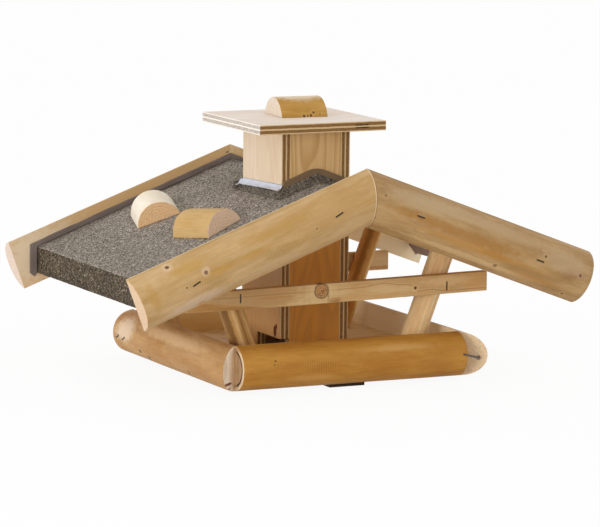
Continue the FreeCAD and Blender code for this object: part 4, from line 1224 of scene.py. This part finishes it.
def make_knob_and_blocks():
    """Three short pieces of split log: the lid's knob, and two blocks on the left slope."""
    along = Vector((math.cos(KNOB_TURN), -math.sin(KNOB_TURN), 0))
    wood = wood_frame((*KNOB_PLACE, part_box("lid_board")[1].z), along, Z)
    materials = [timber("knob_peeled", **KNOB),
                 end_grain("knob_end", ((226, 212, 196), (196, 168, 134)), seed=8.0, lines=0.2)]
    split_log("lid_knob", KNOB_LOG, wood, -KNOB_HALF, KNOB_HALF, materials, seed=0.4)

    down, out = slope_axes(-1)
    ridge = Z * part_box("roof_felt_left")[1].z
    for end, reach, y, angle, tones, ends in BLOCKS:
        # The axis is turned from the uphill direction towards the back.
        angle = math.radians(angle)
        along = -down * math.cos(angle) + Y * math.sin(angle)
        wood = wood_frame(ridge + down * reach * MM + Y * y * MM, along, out)
        materials = [timber(f"{end}_block_peeled", tones, seed=reach, lines=0.12, chatter=0.1),
                     end_grain(f"{end}_block_end", ends, seed=reach, ring=3.4 * MM, lines=0.3)]
        split_log(f"roof_block_{end}", BLOCK_LOG, wood, -BLOCK_HALF, BLOCK_HALF, materials, seed=reach)


def wire_ends(bm, radius, matrix):
    """Adds the outline of a wire's end: its points, and the edges between them."""
    verts = bmesh.ops.create_circle(bm, segments=10, radius=radius, matrix=matrix)["verts"]
    return verts, [edge for edge in bm.edges if set(verts).issuperset(edge.verts)]


def bent_wire(bm, middle, along, legs, length, wire=0.55 * MM, deep=9 * MM, bend=1.3 * MM):
    """Adds a staple of round wire: a crown between two legs that are driven in."""
    half = length / 2 - wire
    before = set(bm.verts)
    _, first = wire_ends(bm, wire, quarter_turn((-half, deep, 0), "X"))
    loop = first
    for kind, value in (
        ("run", (0, bend - deep, 0)), ("bend", (bend - half, bend, 0)),
        ("run", (2 * (half - bend), 0, 0)), ("bend", (half - bend, bend, 0)), ("run", (0, deep - bend, 0)),
    ):
        if kind == "run":
            drawn = bmesh.ops.extrude_edge_only(bm, edges=loop)["geom"]
            points = only(BMVert, drawn)
            bmesh.ops.translate(bm, verts=points, vec=value)
            loop = [edge for edge in only(BMEdge, drawn) if set(points).issuperset(edge.verts)]
        else:
            drawn = bmesh.ops.spin(
                bm, geom=loop, cent=value, axis=(0, 0, 1), angle=math.radians(90), steps=5
            )["geom_last"]
            loop = only(BMEdge, drawn)
    bmesh.ops.contextual_create(bm, geom=first)
    bmesh.ops.contextual_create(bm, geom=loop)
    matrix = wood_frame(middle + legs * wire, along, legs)
    bmesh.ops.transform(bm, matrix=matrix, verts=list(set(bm.verts) - before))


def twisted_wire(bm, middle, along, legs, length, wire=0.75 * MM, lay=7 * MM, steps=14):
    """Adds two wires laid round each other, as in the long fastening across the front right corner."""
    turns = length / lay
    count = round(turns * steps)
    before = set(bm.verts)
    for side in (-1, 1):
        _, first = wire_ends(bm, wire, quarter_turn((-length / 2, side * wire, 0), "Y"))
        drawn = bmesh.ops.spin(
            bm, geom=first, cent=(0, 0, 0), axis=(1, 0, 0), dvec=(length / count, 0, 0),
            angle=2 * math.pi * turns, steps=count,
        )["geom_last"]
        bmesh.ops.contextual_create(bm, geom=first)
        bmesh.ops.contextual_create(bm, geom=only(BMEdge, drawn))
    matrix = wood_frame(middle, along, legs)
    bmesh.ops.transform(bm, matrix=matrix, verts=list(set(bm.verts) - before))


def wire_ring(bm, middle, axis, radius, wire=0.6 * MM):
    """Adds an eye of round wire."""
    before = set(bm.verts)
    _, first = wire_ends(bm, wire, quarter_turn((radius, 0, 0), "X"))
    bmesh.ops.spin(
        bm, geom=first, cent=(0, 0, 0), axis=(0, 0, 1), angle=2 * math.pi, steps=24, use_merge=True
    )
    matrix = axis.to_track_quat("Z", "Y").to_matrix().to_4x4()
    matrix.translation = middle
    bmesh.ops.transform(bm, matrix=matrix, verts=list(set(bm.verts) - before))


LONG_FASTENING = 20 * MM


def make_fittings():
    """Screws and staples."""
    steel = metal("screw_steel_plated", (206, 196, 160), 0.35)
    wire = metal("staple_wire_grey", (62, 54, 46), 0.45, metallic=0.4)
    bright = metal("tray_wire_bright", (104, 98, 92), 0.35, metallic=0.6)
    for node in ("bearer_screws", "post_screws", "silo_screws", "lid_screws", "block_screws"):
        keep_piece(copy_of(node), node, Matrix(), [steel])
    for node, material in (("barge_staples", wire), ("rail_staples", wire), ("tray_staples", bright)):
        bm = bmesh.new()
        for middle, along, legs, length in crowns(node):
            if length < LONG_FASTENING:
                bent_wire(bm, middle, along, legs, length)
                continue
            twisted_wire(bm, middle, along, legs, length - 6 * MM)
            bent_wire(bm, middle + legs * 1.2 * MM, along, legs, length - 4 * MM)
            wire_ring(bm, middle + along * (length / 2 - 2.5 * MM) + legs * 1 * MM, legs, 2.2 * MM)
        keep_piece(bm, node, Matrix(), [material]).data.shade_smooth()


CAMERA_PLACE, CAMERA_LENS = (-2.1012, -4.4128, 0.8283), 238.9


def make_camera():
    """The photograph's own viewpoint."""
    azimuth, elevation, roll = math.radians(-25.534), math.radians(8.127), math.radians(0.578)
    level = math.cos(elevation)
    back = Vector((math.sin(azimuth) * level, -math.cos(azimuth) * level, math.sin(elevation)))
    right = Vector((math.cos(azimuth), math.sin(azimuth), 0))
    up = back.cross(right)
    matrix = Matrix((
        right * math.cos(roll) + up * math.sin(roll),
        up * math.cos(roll) - right * math.sin(roll),
        back,
    )).transposed().to_4x4()
    matrix.translation = CAMERA_PLACE
    camera = add_object("camera", bpy.data.cameras.new("camera"))
    camera.data.lens = CAMERA_LENS
    camera.data.sensor_width = 36
    camera.data.clip_end = 50
    camera.matrix_world = matrix
    bpy.context.scene.camera = camera


WHITE = (1.0, 1.0, 1.0, 1.0)
PAPER = (0.9, 0.9, 0.9, 1.0)
SKY_LIGHT = 0.9
# How far the floor's own white stands in for its lit colour, which keeps the shadow.
FLOOR_GLOW = 0.93
FLOOR_RADIUS = 12
LAMP_PLACE, LAMP_AIM = Vector((-3.2, -1.0, 0.45)), Vector((0, 0, 0.15))
LAMP_WIDTH, LAMP_HEIGHT, LAMP_WATTS = 2.5, 0.8, 40


def make_studio():
    """White floor and sky, and a long low lamp on the left."""
    scene = bpy.context.scene
    scene.view_settings.view_transform = "Standard"
    world = bpy.data.worlds.new("studio")
    scene.world = world
    world.use_nodes = True
    sky = Tree(world.node_tree)
    dim = sky.node("ShaderNodeBackground", inputs={0: WHITE, 1: SKY_LIGHT})
    white = sky.node("ShaderNodeBackground", inputs={0: WHITE, 1: 1.0})
    shown = sky.node("ShaderNodeMixShader", inputs={0: sky.seen_directly(), 1: dim, 2: white})
    sky.put(world.node_tree.nodes["World Output"].inputs[0], shown)

    bm = bmesh.new()
    bmesh.ops.create_circle(bm, cap_ends=True, segments=64, radius=FLOOR_RADIUS)
    paper = Finish("floor_paper", Base_Color=PAPER, Roughness=0.9)
    glow = paper.node("ShaderNodeEmission", inputs={0: WHITE, 1: 1.0})
    body = Wire(paper, paper.shader.outputs[0])
    glowing = paper.seen_directly() * FLOOR_GLOW
    shown = paper.node("ShaderNodeMixShader", inputs={0: glowing, 1: body, 2: glow})
    paper.put(paper.tree.nodes["Material Output"].inputs[0], shown)
    add_object("floor", mesh_of(bm, "floor", [paper.material]))

    lamp = add_object("key", bpy.data.lights.new("key", "AREA"))
    lamp.data.shape = "RECTANGLE"
    lamp.data.size, lamp.data.size_y = LAMP_WIDTH, LAMP_HEIGHT
    lamp.data.energy = LAMP_WATTS
    lamp.location = LAMP_PLACE
    lamp.rotation_euler = (LAMP_AIM - LAMP_PLACE).to_track_quat("-Z", "Y").to_euler()


make_tray_logs()
make_barges()
make_posts()
make_rails()
make_plywood()
make_battens()
make_felt()
make_flashing()
make_knob_and_blocks()
make_fittings()
make_camera()
make_studio()
bpy.context.view_layer.update()
